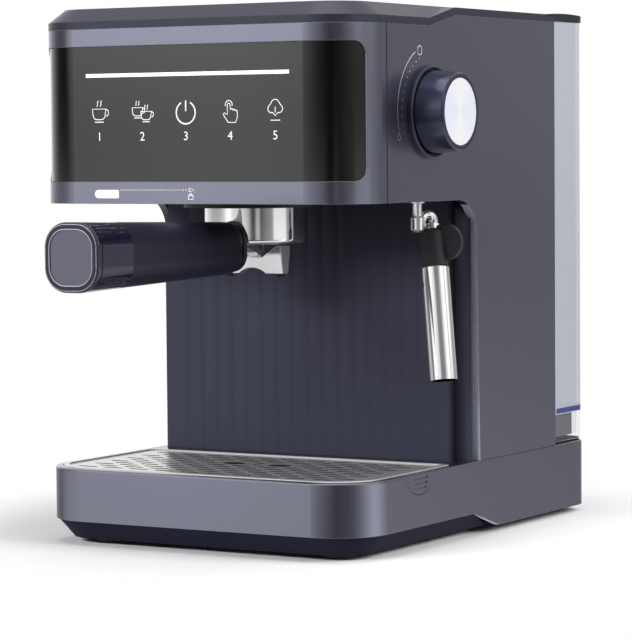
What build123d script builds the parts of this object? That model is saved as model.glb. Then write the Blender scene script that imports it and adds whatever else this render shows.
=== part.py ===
from build123d import *
import os
from math import cos, hypot, radians, sin

os.makedirs("parts", exist_ok=True)

# A domestic espresso machine: touch panel, bayonet portafilter, steam wand and lift-off water tank.
# In the names below x runs right from the mid-plane, y back from the front of the base, z up from the
# floor. The frame's origin is the middle of the whole footprint, handle and knob included.

# Gaps
RUN = 0.3
SLIP = 0.05
CLEAR = 0.4

# Base shell, plinth and feet
BASE_W = 210.0
BASE_D = 285.0
BASE_TOP = 43.0
BASE_FRONT_R = 30.0
BASE_BACK_R = 18.0
BASE_WALL = 3.0
BASE_EDGE_R = 1.2
DECK_T = 8.0
FOOT_H = 3.0
FOOT_R = 8.0
FOOT_INSET_X = 30.0
FOOT_INSET_Y = 32.0
FOOT_PEG_R = 3.0
SEAM_Z = 13.6
SKIRT_Z = 4.0
PLINTH_STEP = 1.0
PLINTH_TAPER = 9.0
PLINTH_WALL = 4.0
PLINTH_END_TOP = 131.0
PLINTH_END_FOOT = 161.0
PLATE_T = 2.0

# Screws that hold the bottom plate
SCREW_X = 45.0
SCREW_FRONT_Y = 125.0
SCREW_BACK_INSET = 23.0
SCREW_R = 1.6
SCREW_HEAD_R = 3.5
SCREW_HEAD_T = 1.6
SCREW_L = 12.0
SCREW_BOSS_R = 4.0

# Drip tray and grate
REBATE_INSET = 4.0
REBATE_DEPTH = 5.0
LEDGE_W = 3.0
BAY_BACK = 111.0
TRAY_FLOOR = 20.0
TRAY_WALL = 2.0
TRAY_FLANGE_T = 2.0
TAB_Y = 67.6
TAB_HALF_W = 16.0
TAB_DEPTH = 12.0
TAB_ROOT_W = 25.6
TAB_GROOVE_COUNT = 3
TAB_GROOVE_L = 19.2
TAB_GROOVE_PITCH = 2.6
TAB_GROOVE_D = 0.6
GRATE_PROUD = 0.6
GRATE_RIM_W = 3.0
GRATE_RIM_R = 0.8
SHEET_T = 1.2
SHEET_DROP = 0.8
SLOT_L = 12.0
SLOT_W = 3.0
SLOT_PITCH_X = 17.0
SLOT_PITCH_Y = 8.0
SLOT_COLUMNS = 11
SLOT_ROWS = 11
DRAIN_X = 15.0
DRAIN_L = 14.0
DRAIN_W = 9.0

# Head: fascia, touch glass and underside
HEAD_W = 209.4
HEAD_FRONT = -3.0
HEAD_R = 31.0
HEAD_BOTTOM = 191.0
FASCIA_BACK = 33.5
FASCIA_T = 4.0
FASCIA_GAP = 0.5
GLASS_BOTTOM = 203.4
GLASS_TOP = 277.0
GLASS_END = 15.7
GLASS_END_R = 7.0
GLASS_DROP = 0.8
GLASS_T = 2.0
GLASS_GAP = 0.25
LIGHT_W = 130.6
LIGHT_H = 2.0
LIGHT_Z = 261.3
LIGHT_T = 0.8
TOUCH_BOARD_W = 140.0
TOUCH_BOARD_H = 64.0
BOARD_T = 1.6
UNDERSIDE_T = 3.0

# Top cover
COVER_SEAM = 286.9
COVER_RISE = 6.7
STEP_FRONT = 81.0
STEP_BACK = 111.0
BAND_H = 4.2
COVER_TOP = 298.5
COVER_CHAMFER = 9.5
COVER_RIM = 12.0
COVER_T = 3.2
BODY_BACK = 236.0
WARM_W = 160.0
WARM_L = 176.0
WARM_Y = 112.0
WARM_R = 14.0
WARM_DEPTH = 1.2
WARM_RIB_COUNT = 9
WARM_RIB_PITCH = 16.0
WARM_RIB_W = 2.4
WARM_RIB_H = 0.9

# Side panels and ribbed back splash
PANEL_EDGE = 5.0
PANEL_T = 2.8
PANEL_FLANGE = 4.0
WING_TOP_Y = 135.4
WING_FOOT_Y = 139.0
WING_R = 20.0
SPLASH_Y = 125.5
SPLASH_R = 6.5
SPLASH_LIP = 3.1
SPLASH_LIP_D = 8.0
SPLASH_LIP_GAP = 1.0
SPLASH_T = 4.0
SPLASH_DEPTH = 12.0
REED_W = 10.24
REED_COUNT = 18
REED_RISE = 0.6
REAR_WALL_T = 3.0
REAR_RIB_W = 4.0
REAR_RIB_D = 6.0

# Brew group
BREW_Y = 67.5
COLLAR_R = 39.6
COLLAR_BOTTOM = 188.0
COLLAR_FLANGE_R = 46.0
COLLAR_ROOF_T = 4.1
BAYONET_T = 3.5
ENTRY_ARC = 46.0
UNLOCK_ANGLE = 45.0
GASKET_T = 4.0
GASKET_W = 4.0
SCREEN_R = 24.6
SCREEN_T = 0.8
SCREEN_HOLE_R = 0.9
SCREEN_HOLE_PITCH = 6.0
SHOWER_SCREW_R = 2.2
SHOWER_HEAD_R = 4.0
SHOWER_HEAD_T = 1.5
SHOWER_SCREW_L = 9.0
BLOCK_W = 92.0
BLOCK_D = 78.0
BLOCK_H = 26.0
BLOCK_R = 14.0
BLOCK_CAP_INSET = 8.0
BLOCK_CAP_H = 6.0
BLOCK_BOSS_R = 25.0
BLOCK_BOSS_H = 5.0
PORT_R = 4.0
PORT_L = 10.0
HEATER_R = 4.0
HEATER_L = 12.0
HEATER_SPAN = 32.0
THERMOSTAT_R = 8.0
THERMOSTAT_H = 7.0
THERMOSTAT_SPAN = 40.0

# Portafilter
BOWL_R = 28.0
BOWL_BOTTOM = 167.7
BOWL_WALL = 1.6
BOWL_FLOOR_T = 2.4
BOWL_EDGE = 2.5
BOWL_BOSS_R = 7.0
BOWL_BOSS_H = 7.7
BOWL_DRAIN_R = 4.0
LUG_R = 34.0
LUG_T = 3.7
LUG_ARC = 40.0
RIM_ABOVE_LUG = 1.4
BASKET_WALL = 0.5
BASKET_RIM_T = 0.7
BASKET_DEPTH = 23.0
BASKET_HOLE_R = 1.0
BASKET_HOLE_PITCH = 7.0
SPOUT_T = 10.4
SPOUT_FOOT_T = 5.6
SPOUT_HALF_W = 20.0
SPOUT_SHOULDER_W = 2.4
SPOUT_SHOULDER_DROP = 1.2
SPOUT_BOTTOM = 150.8
SPOUT_ARCH_W = 18.0
SPOUT_ARCH_H = 3.2
SPOUT_EDGE = 1.0
SPOUT_BORE_X = 16.8
TIP_R = 2.3
TIP_BORE_R = 1.5
TIP_L = 8.0
TIP_PROUD = 1.8
HANDLE_Z = 166.0
HANDLE_REACH = 111.5
HANDLE_TIP_W = 34.0
HANDLE_TIP_H = 36.4
HANDLE_NECK_W = 27.0
HANDLE_NECK_H = 28.7
HANDLE_CORNER = 0.39
HANDLE_NECK_Y = 36.0
HANDLE_NECK_R = 5.0
BAND_L = 34.0
CAP_RIM_W = 3.6
CAP_RECESS = 1.6
CAP_T = 1.0
CAP_RIM_R = 2.2
RIM_GROOVE_Y = 4.2
RIM_GROOVE_W = 0.7
RIM_GROOVE_D = 0.5
FERRULE_T = 3.2
FERRULE_GROW = 1.5
NECK_W = 14.0
NECK_H = 9.0
NECK_DROP = 1.0
NECK_R = 3.0
BOLT_R = 2.5
BOLT_HEAD_R = 5.0
BOLT_HEAD_L = 5.0
BOLT_GRIP = 12.0

# Steam knob and valve
KNOB_Y = 80.8
KNOB_Z = 239.9
KNOB_R = 23.0
KNOB_FACE_R = 21.25
KNOB_L = 17.9
KNOB_BEVEL = 0.8
KNOB_RECESS = 1.0
KNOB_BORE_L = 9.0
CAP_DISC_R = 18.3
CAP_DISC_T = 0.8
CAP_DISC_DISH = 0.3
BEZEL_R = 25.35
BEZEL_H = 3.0
BEZEL_PLATE_T = 1.1
BEZEL_LIP = 1.4
SPINDLE_R = 4.0
SPINDLE_HOLE_R = 5.6
SPINDLE_INNER_X = 72.0
VALVE_R = 10.0
VALVE_INNER_X = 64.0
VALVE_FLANGE_R = 16.0
VALVE_FLANGE_T = 3.0
VALVE_OUTLET_X = 84.0

# Steam wand
PIPE_X = 89.0
PIPE_Y = 95.0
PIPE_R = 2.7
PIPE_END_Z = 178.0
PIPE_BEND_R = 5.0
PIPE_FLANGE_R = 4.4
PIPE_FLANGE_T = 1.4
KNUCKLE_R = 3.9
KNUCKLE_BOTTOM = 173.6
KNUCKLE_TOP = 182.5
KNUCKLE_EDGE = 1.4
GOOSE_START = 3.2
GOOSE_TOP = 7.0
GOOSE_BASE_Z = 177.0
GOOSE_TOP_Z = 183.4
WAND_TOP = (93.4, 104.3, 175.0)
WAND_FOOT = (106.0, 93.0, 92.0)
WAND_COLLAR_R = 4.2
WAND_COLLAR_H = 3.0
GRIP_R = 7.4
GRIP_L = 21.0
GRIP_EDGE = 2.0
PADDLE_R = 10.3
PADDLE_X = 102.1
PADDLE_T = 3.6
PADDLE_Y = 105.8
PADDLE_Z = 168.1
PADDLE_EDGE = 1.0
TUBE_R = 2.2
NOZZLE_R = 5.0
NOZZLE_L = 16.0
NOZZLE_TIP_R = 2.4
NOZZLE_TIP_L = 4.0
SLEEVE_R = 7.75
SLEEVE_WALL = 1.1
SLEEVE_NECK_L = 3.0
SLEEVE_VENT_R = 1.2
SLEEVE_VENT_L = 10.0

# Water tank
TANK_HALF_W = 103.0
TANK_FRONT_GAP = 0.8
TANK_BACK_INSET = 2.0
TANK_BACK_R = 12.0
TANK_FRONT_R = 4.0
TANK_TOP = 294.0
TANK_WALL = 2.4
TANK_FLOOR_T = 2.6
PAD_T = 1.2
PAD_INSET = 1.0
INSERT_BACK_GAP = 12.5
INSERT_H = 13.5
INSERT_R = 4.0
OUTLET_X = -60.0
VALVE_BODY_R = 8.5
VALVE_BODY_H = 9.0
VALVE_NECK_R = 7.0
VALVE_BORE_R = 4.4
STEM_R = 1.5
DISC_R = 6.0
DISC_T = 2.0
VALVE_TRAVEL = 1.8
SOCKET_R = 9.0
SPIGOT_R = 3.9
SPIGOT_H = 2.6
SEAL_W = 2.0
TAIL_R = 3.5
TAIL_L = 4.0
LID_GAP = 0.4
LID_PIVOT_R = 1.7
LID_PIVOT_INSET = 0.4
LID_CROWN = 299.0
LID_FRONT = 225.0
LID_FLAP_T = 2.1
LID_EAR_X = 72.0
LID_EAR_W = 5.0
LID_PIN_R = 0.9
LID_PIN_L = 16.0

# Pump, hoses, board and cord gland
PUMP_Y = 186.0
PUMP_Z = 85.0
PUMP_L = 122.0
PUMP_COIL_RUN = 56.0
PUMP_COIL_W = 52.0
PUMP_COIL_H = 46.0
PUMP_INLET_R = 11.0
PUMP_CORE_R = 10.0
PUMP_BRASS_R = 7.0
PUMP_BRASS_L = 8.0
SPIGOT_L = 12.0
MOUNT_W = 14.0
MOUNT_D = 30.0
MOUNT_SPAN = 32.0
HOSE_R = 3.5
HOSE_BORE_R = 2.0
HOSE_LOW_Z = 17.0
INLET_WALL_GAP = 7.5
INLET_PANEL_GAP = 5.0
INLET_RUN = 11.0
INLET_TURN_Y = 224.0
INLET_BEND_R = 7.0
PRESSURE_RUN = 16.0
PRESSURE_TOP_Z = 200.0
PRESSURE_BEND_R = 8.0
BLOCK_INLET_X = -20.0
STEAM_PORT_X = 20.0
STEAM_LOOP_X = 45.0
STEAM_LOOP_Z = 262.0
BOARD_X = 55.0
BOARD_W = 80.0
BOARD_H = 82.0
BOARD_Z = 230.0
STANDOFF_L = 5.0
STANDOFF_R = 2.5
STANDOFF_INSET = 6.0
RELAY_W = 20.0
RELAY_H = 16.0
RELAY_T = 14.0
RELAY_PITCH = 26.0
GLAND_X = 50.0
GLAND_Z = 25.0
GLAND_R = 6.0
GLAND_BORE_R = 3.6
GLAND_L = 12.0
GLAND_FLANGE_R = 8.5
GLAND_FLANGE_T = 3.0

# Places that follow from the sizes above
panel_x = HEAD_W / 2
inner_x = panel_x - PANEL_EDGE
knob_back_x = panel_x + BEZEL_PLATE_T + RUN
knob_face_x = knob_back_x + KNOB_L
X_MID = -(knob_face_x - BASE_W / 2) / 2
Y_FRONT = (HANDLE_REACH - BASE_D) / 2

band_top = COVER_SEAM + BAND_H
rear_seam = COVER_SEAM + COVER_RISE
rear_band_top = rear_seam + BAND_H
scoop_z = LID_CROWN - LID_FLAP_T - RUN
lid_bottom = TANK_TOP + LID_GAP
ledge_z = BASE_TOP - REBATE_DEPTH
grate_z = ledge_z + TRAY_FLANGE_T
grate_top = BASE_TOP + GRATE_PROUD
deck_z = BASE_TOP - DECK_T
plate_top = FOOT_H + PLATE_T
sheet_z = grate_top - SHEET_DROP - SHEET_T
bayonet_top = COLLAR_BOTTOM + BAYONET_T
lug_bottom = bayonet_top + RUN
lug_top = lug_bottom + LUG_T
rim_top = lug_top + RIM_ABOVE_LUG
basket_top = rim_top + BASKET_RIM_T
gasket_bottom = basket_top + RUN
gasket_top = gasket_bottom + GASKET_T
collar_top = gasket_top + COLLAR_ROOF_T
bowl_inner_r = BOWL_R - BOWL_WALL
basket_r = bowl_inner_r - RUN
basket_floor = basket_top - BASKET_DEPTH
boss_bottom = BOWL_BOTTOM - BOWL_BOSS_H
block_boss_z = collar_top - BLOCK_BOSS_H
block_top = collar_top + BLOCK_H
neck_z = HANDLE_Z - NECK_DROP
band_back = BAND_L - HANDLE_REACH
tank_z = BASE_TOP + PAD_T
tank_front = BODY_BACK + TANK_FRONT_GAP
tank_back = BASE_D - TANK_BACK_INSET
lid_pivot_y = tank_back - LID_PIVOT_INSET
outlet_y = (tank_front + tank_back) / 2
tank_floor = tank_z + TANK_FLOOR_T
lid_pivot_z = lid_bottom + LID_PIVOT_R
coil_bottom = PUMP_Z - PUMP_COIL_H / 2
screw_back_y = BASE_D - SCREW_BACK_INSET
inlet_rise_x = HOSE_R + max(
    INLET_WALL_GAP + BASE_WALL - BASE_W / 2, INLET_PANEL_GAP - inner_x
)
pump_inlet_x = inlet_rise_x + INLET_RUN
pump_coil_x = pump_inlet_x + PUMP_COIL_RUN
pump_outlet_x = pump_inlet_x + PUMP_L
pressure_rise_x = pump_outlet_x + PRESSURE_RUN
board_y = BODY_BACK - REAR_WALL_T - STANDOFF_L
splash_half = inner_x - RUN


def at(x, y, z):
    """A point in the frame from its place on the machine."""
    return (X_MID + x, Y_FRONT + y, z)


def level(z, x=0.0, y=0.0):
    """A plane that faces up at height z."""
    return Plane(origin=at(x, y, z))


def facing_front(y, x=0.0, z=0.0):
    """An upright plane that faces the front, with its own x to the right and y up."""
    return Plane(origin=at(x, y, z), x_dir=(1, 0, 0), z_dir=(0, -1, 0))


def facing_right(x, y=0.0, z=0.0):
    """An upright plane that faces right, with its own x to the back and y up."""
    return Plane(origin=at(x, y, z), x_dir=(0, 1, 0), z_dir=(1, 0, 0))


def around(x, y, angle=0.0):
    """An upright plane through a vertical axis, with its own x outwards at the given angle."""
    a = radians(angle)
    return Plane(origin=at(x, y, 0), x_dir=(cos(a), sin(a), 0), z_dir=(sin(a), -cos(a), 0))


def upright_axis(x, y):
    return Axis(at(x, y, 0), (0, 0, 1))


def plan(half_width, front, back, front_r, back_r=0.0):
    """Plan outline with rounded front corners and, where asked, rounded back corners."""
    with BuildSketch() as outline:
        with Locations((0, front)):
            Rectangle(2 * half_width, back - front, align=(Align.CENTER, Align.MIN))
        fillet(outline.vertices().group_by(Axis.Y)[0], front_r)
        if back_r:
            fillet(outline.vertices().group_by(Axis.Y)[-1], back_r)
    return outline.sketch


def base_plan(inset):
    """The base outline, drawn in by a wall or a step."""
    return plan(
        BASE_W / 2 - inset, inset, BASE_D - inset, BASE_FRONT_R - inset, BASE_BACK_R - inset
    )


def bay_plan(inset):
    """The outline of the drip tray bay, counted in from the base outline."""
    return plan(
        BASE_W / 2 - inset, inset, BAY_BACK + REBATE_INSET - inset, BASE_FRONT_R - inset, LEDGE_W
    )


def head_plan(inset, back):
    """The head outline in plan, drawn in by a wall and cut off square at the back."""
    return plan(HEAD_W / 2 - inset, HEAD_FRONT + inset, back, HEAD_R - inset)


def tank_plan(inset):
    return plan(
        TANK_HALF_W - inset,
        tank_front + inset,
        tank_back - inset,
        TANK_FRONT_R - inset,
        TANK_BACK_R - inset,
    )


def hollow_tube(points, radii, outer_r, bore_r):
    """A tube along straight runs joined by arcs."""
    with BuildPart() as tube:
        with BuildLine() as route:
            FilletPolyline(*points, radius=radii)
        start = Plane(origin=route.line @ 0, z_dir=route.line % 0)
        with BuildSketch(start):
            Circle(outer_r)
            Circle(bore_r, mode=Mode.SUBTRACT)
        sweep(path=route.line)
    return tube


# Base shell
with BuildPart() as base_shell:
    with BuildSketch(level(SKIRT_Z)):
        add(base_plan(0))
    extrude(amount=BASE_TOP - SKIRT_Z)
    fillet(base_shell.faces().sort_by(Axis.Z)[-1].edges(), BASE_EDGE_R)
    with BuildSketch(level(SKIRT_Z)):
        add(base_plan(BASE_WALL))
    extrude(amount=deck_z - SKIRT_Z, mode=Mode.SUBTRACT)
    # the wall above the plinth ends in a slope and the rear skirt runs on to the floor
    with BuildSketch(facing_right(0)):
        with BuildLine():
            Polyline(
                (-BASE_WALL, 0),
                (-BASE_WALL, SEAM_Z),
                (PLINTH_END_TOP, SEAM_Z),
                (PLINTH_END_FOOT, SKIRT_Z),
                (PLINTH_END_FOOT, 0),
                close=True,
            )
        make_face()
    extrude(amount=BASE_W, both=True, mode=Mode.SUBTRACT)
    # stepped bay for the drip tray
    with BuildSketch(level(BASE_TOP)):
        add(bay_plan(REBATE_INSET))
    extrude(amount=-REBATE_DEPTH, mode=Mode.SUBTRACT)
    with BuildSketch(level(BASE_TOP)):
        add(bay_plan(REBATE_INSET + LEDGE_W))
    extrude(amount=-DECK_T, mode=Mode.SUBTRACT)
    with BuildSketch(facing_right(0)):
        with Locations((TAB_Y, BASE_TOP)):
            Ellipse(TAB_HALF_W, TAB_DEPTH)
    extrude(amount=BASE_W, both=True, mode=Mode.SUBTRACT)
    # bosses for the bottom screws
    with BuildSketch(level(plate_top)):
        with Locations((0, (SCREW_FRONT_Y + screw_back_y) / 2)):
            with GridLocations(2 * SCREW_X, screw_back_y - SCREW_FRONT_Y, 2, 2):
                Circle(SCREW_BOSS_R)
                Circle(SCREW_R + SLIP, mode=Mode.SUBTRACT)
    extrude(amount=deck_z - plate_top)
    # ways through the deck for the tank socket and the inlet hose, and through the back for the cord
    with BuildSketch(level(deck_z)):
        with Locations((OUTLET_X, outlet_y)):
            Circle(SOCKET_R + SLIP)
        with Locations((inlet_rise_x, PUMP_Y)):
            Circle(HOSE_R + 2 * CLEAR)
    extrude(amount=DECK_T, mode=Mode.SUBTRACT)
    with BuildSketch(facing_front(BASE_D)):
        with Locations((GLAND_X, GLAND_Z)):
            Circle(GLAND_R + SLIP)
    extrude(amount=BASE_WALL, mode=Mode.SUBTRACT)
base_shell.part.label = "base_shell"
export_step(base_shell.part, "parts/base_shell.step")

# Plinth: a dark foot that draws in towards the floor, with the bottom plate behind it
with BuildPart() as plinth:
    with BuildSketch(level(FOOT_H)):
        add(base_plan(PLINTH_STEP + PLINTH_TAPER))
    with BuildSketch(level(SEAM_Z)):
        add(base_plan(PLINTH_STEP))
    loft(ruled=True)
    with BuildSketch(facing_right(0)):
        with BuildLine():
            Polyline(
                (PLINTH_END_TOP - RUN, SEAM_Z),
                (PLINTH_END_FOOT - RUN, SKIRT_Z),
                (PLINTH_END_FOOT - RUN, 0),
                (BASE_D, 0),
                (BASE_D, SEAM_Z),
                close=True,
            )
        make_face()
    extrude(amount=BASE_W, both=True, mode=Mode.SUBTRACT)
    with BuildSketch(level(plate_top)):
        add(base_plan(PLINTH_STEP + PLINTH_TAPER + PLINTH_WALL))
    extrude(amount=SEAM_Z - plate_top, mode=Mode.SUBTRACT)
    with BuildSketch(level(FOOT_H)):
        add(base_plan(PLINTH_STEP + PLINTH_TAPER))
    extrude(amount=PLATE_T)
    with BuildSketch(level(FOOT_H)):
        with Locations((0, BASE_D / 2)):
            with GridLocations(BASE_W - 2 * FOOT_INSET_X, BASE_D - 2 * FOOT_INSET_Y, 2, 2):
                Circle(FOOT_PEG_R)
        with Locations((0, (SCREW_FRONT_Y + screw_back_y) / 2)):
            with GridLocations(2 * SCREW_X, screw_back_y - SCREW_FRONT_Y, 2, 2):
                Circle(SCREW_R + SLIP)
    extrude(amount=PLATE_T, mode=Mode.SUBTRACT)
plinth.part.label = "plinth"
export_step(plinth.part, "parts/plinth.step")

# Rubber feet, each with a peg in the bottom plate
with BuildPart() as rubber_feet:
    with BuildSketch(level(0)):
        with Locations((0, BASE_D / 2)):
            with GridLocations(BASE_W - 2 * FOOT_INSET_X, BASE_D - 2 * FOOT_INSET_Y, 2, 2):
                Circle(FOOT_R)
    extrude(amount=FOOT_H)
    with BuildSketch(level(FOOT_H)):
        with Locations((0, BASE_D / 2)):
            with GridLocations(BASE_W - 2 * FOOT_INSET_X, BASE_D - 2 * FOOT_INSET_Y, 2, 2):
                Circle(FOOT_PEG_R - SLIP)
    extrude(amount=PLATE_T)
rubber_feet.part.label = "rubber_feet"
export_step(rubber_feet.part, "parts/rubber_feet.step")

# Screws of the bottom plate
with BuildPart() as case_screws:
    with BuildSketch(level(FOOT_H - SCREW_HEAD_T)):
        with Locations((0, (SCREW_FRONT_Y + screw_back_y) / 2)):
            with GridLocations(2 * SCREW_X, screw_back_y - SCREW_FRONT_Y, 2, 2):
                Circle(SCREW_HEAD_R)
    extrude(amount=SCREW_HEAD_T)
    with BuildSketch(level(FOOT_H)):
        with Locations((0, (SCREW_FRONT_Y + screw_back_y) / 2)):
            with GridLocations(2 * SCREW_X, screw_back_y - SCREW_FRONT_Y, 2, 2):
                Circle(SCREW_R)
    extrude(amount=SCREW_L)
case_screws.part.label = "case_screws"
export_step(case_screws.part, "parts/case_screws.step")

# Drip tray: hangs by its flange, with a half-round finger tab each side
with BuildPart() as drip_tray:
    with BuildSketch(level(TRAY_FLOOR)):
        add(bay_plan(REBATE_INSET + LEDGE_W + CLEAR))
    extrude(amount=ledge_z - TRAY_FLOOR)
    with BuildSketch(level(ledge_z)):
        add(bay_plan(REBATE_INSET + CLEAR))
    extrude(amount=TRAY_FLANGE_T)
    with BuildSketch(level(TRAY_FLOOR + TRAY_WALL)):
        add(bay_plan(REBATE_INSET + LEDGE_W + CLEAR + TRAY_WALL))
    extrude(amount=grate_z - TRAY_FLOOR, mode=Mode.SUBTRACT)
    for side in (1, -1):
        # the tab fills the notch in the base wall, below the level of the base top
        with BuildSketch(facing_right(side * (BASE_W / 2 - REBATE_INSET + CLEAR))):
            with Locations((TAB_Y, BASE_TOP)):
                Ellipse(TAB_HALF_W - CLEAR, TAB_DEPTH - CLEAR)
            with Locations((TAB_Y, BASE_TOP - RUN)):
                Rectangle(
                    2 * TAB_HALF_W,
                    TAB_DEPTH + CLEAR,
                    align=(Align.CENTER, Align.MIN),
                    mode=Mode.SUBTRACT,
                )
        extrude(amount=side * (REBATE_INSET - CLEAR))
        with BuildSketch(facing_right(side * (BASE_W / 2 - REBATE_INSET - LEDGE_W))):
            with Locations((TAB_Y, ledge_z)):
                Rectangle(TAB_ROOT_W, TRAY_FLANGE_T, align=(Align.CENTER, Align.MIN))
        extrude(amount=side * (LEDGE_W + 2 * CLEAR))
        with BuildSketch(facing_right(side * BASE_W / 2)):
            for row in range(TAB_GROOVE_COUNT):
                drop = (row + 1) * TAB_GROOVE_PITCH
                with Locations((TAB_Y, BASE_TOP - drop)):
                    Rectangle(TAB_GROOVE_L - 2 * drop / TAB_GROOVE_COUNT, TAB_GROOVE_PITCH / 2)
        extrude(amount=-side * TAB_GROOVE_D, mode=Mode.SUBTRACT)
drip_tray.part.label = "drip_tray"
export_step(drip_tray.part, "parts/drip_tray.step")

# Drip grate: a slotted sheet in a rounded rim, with two drain openings
with BuildPart() as drip_grate:
    with BuildSketch(level(grate_z)):
        add(bay_plan(REBATE_INSET + CLEAR))
    extrude(amount=grate_top - grate_z)
    fillet(drip_grate.faces().sort_by(Axis.Z)[-1].edges(), GRATE_RIM_R)
    with BuildSketch(level(grate_top)):
        add(bay_plan(REBATE_INSET + CLEAR + GRATE_RIM_W))
    extrude(amount=-SHEET_DROP, mode=Mode.SUBTRACT)
    with BuildSketch(level(grate_z)):
        add(bay_plan(REBATE_INSET + CLEAR + GRATE_RIM_W))
    extrude(amount=sheet_z - grate_z, mode=Mode.SUBTRACT)
    with BuildSketch(level(sheet_z, y=(REBATE_INSET + BAY_BACK) / 2)):
        for row in range(SLOT_ROWS):
            row_y = (row - (SLOT_ROWS - 1) / 2) * SLOT_PITCH_Y
            shift = SLOT_PITCH_X / 4 if row % 2 else -SLOT_PITCH_X / 4
            with Locations((shift, row_y)):
                with GridLocations(SLOT_PITCH_X, SLOT_PITCH_Y, SLOT_COLUMNS - 1, 1):
                    Rectangle(SLOT_L, SLOT_W)
        with Locations((-DRAIN_X, BREW_Y - (REBATE_INSET + BAY_BACK) / 2)):
            Rectangle(DRAIN_L + SLOT_PITCH_Y, DRAIN_W + SLOT_PITCH_Y / 2, mode=Mode.SUBTRACT)
            Ellipse(DRAIN_L / 2, DRAIN_W / 2)
        with Locations((DRAIN_X, BREW_Y - (REBATE_INSET + BAY_BACK) / 2)):
            Rectangle(DRAIN_L + SLOT_PITCH_Y, DRAIN_W + SLOT_PITCH_Y / 2, mode=Mode.SUBTRACT)
            Ellipse(DRAIN_L / 2, DRAIN_W / 2)
    extrude(amount=SHEET_T, mode=Mode.SUBTRACT)
drip_grate.part.label = "drip_grate"
export_step(drip_grate.part, "parts/drip_grate.step")

# Ribbed back splash: a row of convex reeds between rounded lips that cover the edges of the side panels
with BuildPart() as back_splash:
    reeds_half = REED_W * REED_COUNT / 2
    lip_half = inner_x + SPLASH_LIP
    lip_back = SPLASH_Y + SPLASH_LIP_D
    with BuildSketch(level(BASE_TOP)):
        with BuildLine():
            Line((-reeds_half, SPLASH_Y), (SPLASH_R - lip_half, SPLASH_Y))
            RadiusArc(
                (SPLASH_R - lip_half, SPLASH_Y), (-lip_half, SPLASH_Y + SPLASH_R), -SPLASH_R
            )
            Polyline(
                (-lip_half, SPLASH_Y + SPLASH_R),
                (-lip_half, lip_back),
                (-splash_half, lip_back),
                (-splash_half, SPLASH_Y + SPLASH_DEPTH),
                (splash_half, SPLASH_Y + SPLASH_DEPTH),
                (splash_half, lip_back),
                (lip_half, lip_back),
                (lip_half, SPLASH_Y + SPLASH_R),
            )
            RadiusArc((lip_half, SPLASH_Y + SPLASH_R), (lip_half - SPLASH_R, SPLASH_Y), -SPLASH_R)
            Line((lip_half - SPLASH_R, SPLASH_Y), (reeds_half, SPLASH_Y))
            for reed in range(REED_COUNT):
                left = -reeds_half + reed * REED_W
                ThreePointArc(
                    (left, SPLASH_Y),
                    (left + REED_W / 2, SPLASH_Y - REED_RISE),
                    (left + REED_W, SPLASH_Y),
                )
        make_face()
    extrude(amount=HEAD_BOTTOM - BASE_TOP)
    with BuildSketch(level(BASE_TOP)):
        with Locations((0, SPLASH_Y + SPLASH_T)):
            Rectangle(
                2 * (splash_half - SPLASH_R), SPLASH_DEPTH, align=(Align.CENTER, Align.MIN)
            )
    extrude(amount=HEAD_BOTTOM - BASE_TOP, mode=Mode.SUBTRACT)
    # the lips end in the rounded corner under the head
    for side in (1, -1):
        with BuildSketch(facing_right(side * (inner_x - RUN / 2))):
            with Locations((WING_TOP_Y - WING_R, HEAD_BOTTOM - WING_R)):
                Rectangle(2 * WING_R, 2 * WING_R, align=(Align.MIN, Align.MIN))
                Circle(WING_R - SPLASH_LIP_GAP, mode=Mode.SUBTRACT)
        extrude(amount=side * PANEL_EDGE, mode=Mode.SUBTRACT)
back_splash.part.label = "back_splash"
export_step(back_splash.part, "parts/back_splash.step")


def panel_outline():
    """Side view of a side panel: the head part in front and the wing down to the base."""
    with BuildSketch() as outline:
        with BuildLine():
            Polyline(
                (FASCIA_BACK, HEAD_BOTTOM),
                (FASCIA_BACK, COVER_SEAM),
                (STEP_FRONT, COVER_SEAM),
                (STEP_BACK, rear_seam),
                (BODY_BACK, rear_seam),
                (BODY_BACK, BASE_TOP),
                (WING_FOOT_Y, BASE_TOP),
                (WING_TOP_Y, HEAD_BOTTOM),
                close=True,
            )
        make_face()
        fillet(outline.vertices().sort_by_distance((WING_TOP_Y, HEAD_BOTTOM))[0], WING_R)
    return outline.sketch


# Side panels: flanged shells, the right one with the hole for the valve spindle
for side_name, side in (("right", 1), ("left", -1)):
    with BuildPart() as side_panel:
        with BuildSketch(facing_right(side * inner_x)):
            add(panel_outline())
        extrude(amount=side * PANEL_EDGE)
        with BuildSketch(facing_right(side * inner_x)):
            add(panel_outline())
            offset(amount=-PANEL_FLANGE, kind=Kind.INTERSECTION, mode=Mode.REPLACE)
        extrude(amount=side * (PANEL_EDGE - PANEL_T), mode=Mode.SUBTRACT)
        if side > 0:
            with BuildSketch(facing_right(inner_x)):
                with Locations((KNOB_Y, KNOB_Z)):
                    Circle(SPINDLE_HOLE_R)
            extrude(amount=PANEL_EDGE, mode=Mode.SUBTRACT)
    side_panel.part.label = f"side_panel_{side_name}"
    export_step(side_panel.part, f"parts/side_panel_{side_name}.step")

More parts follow.
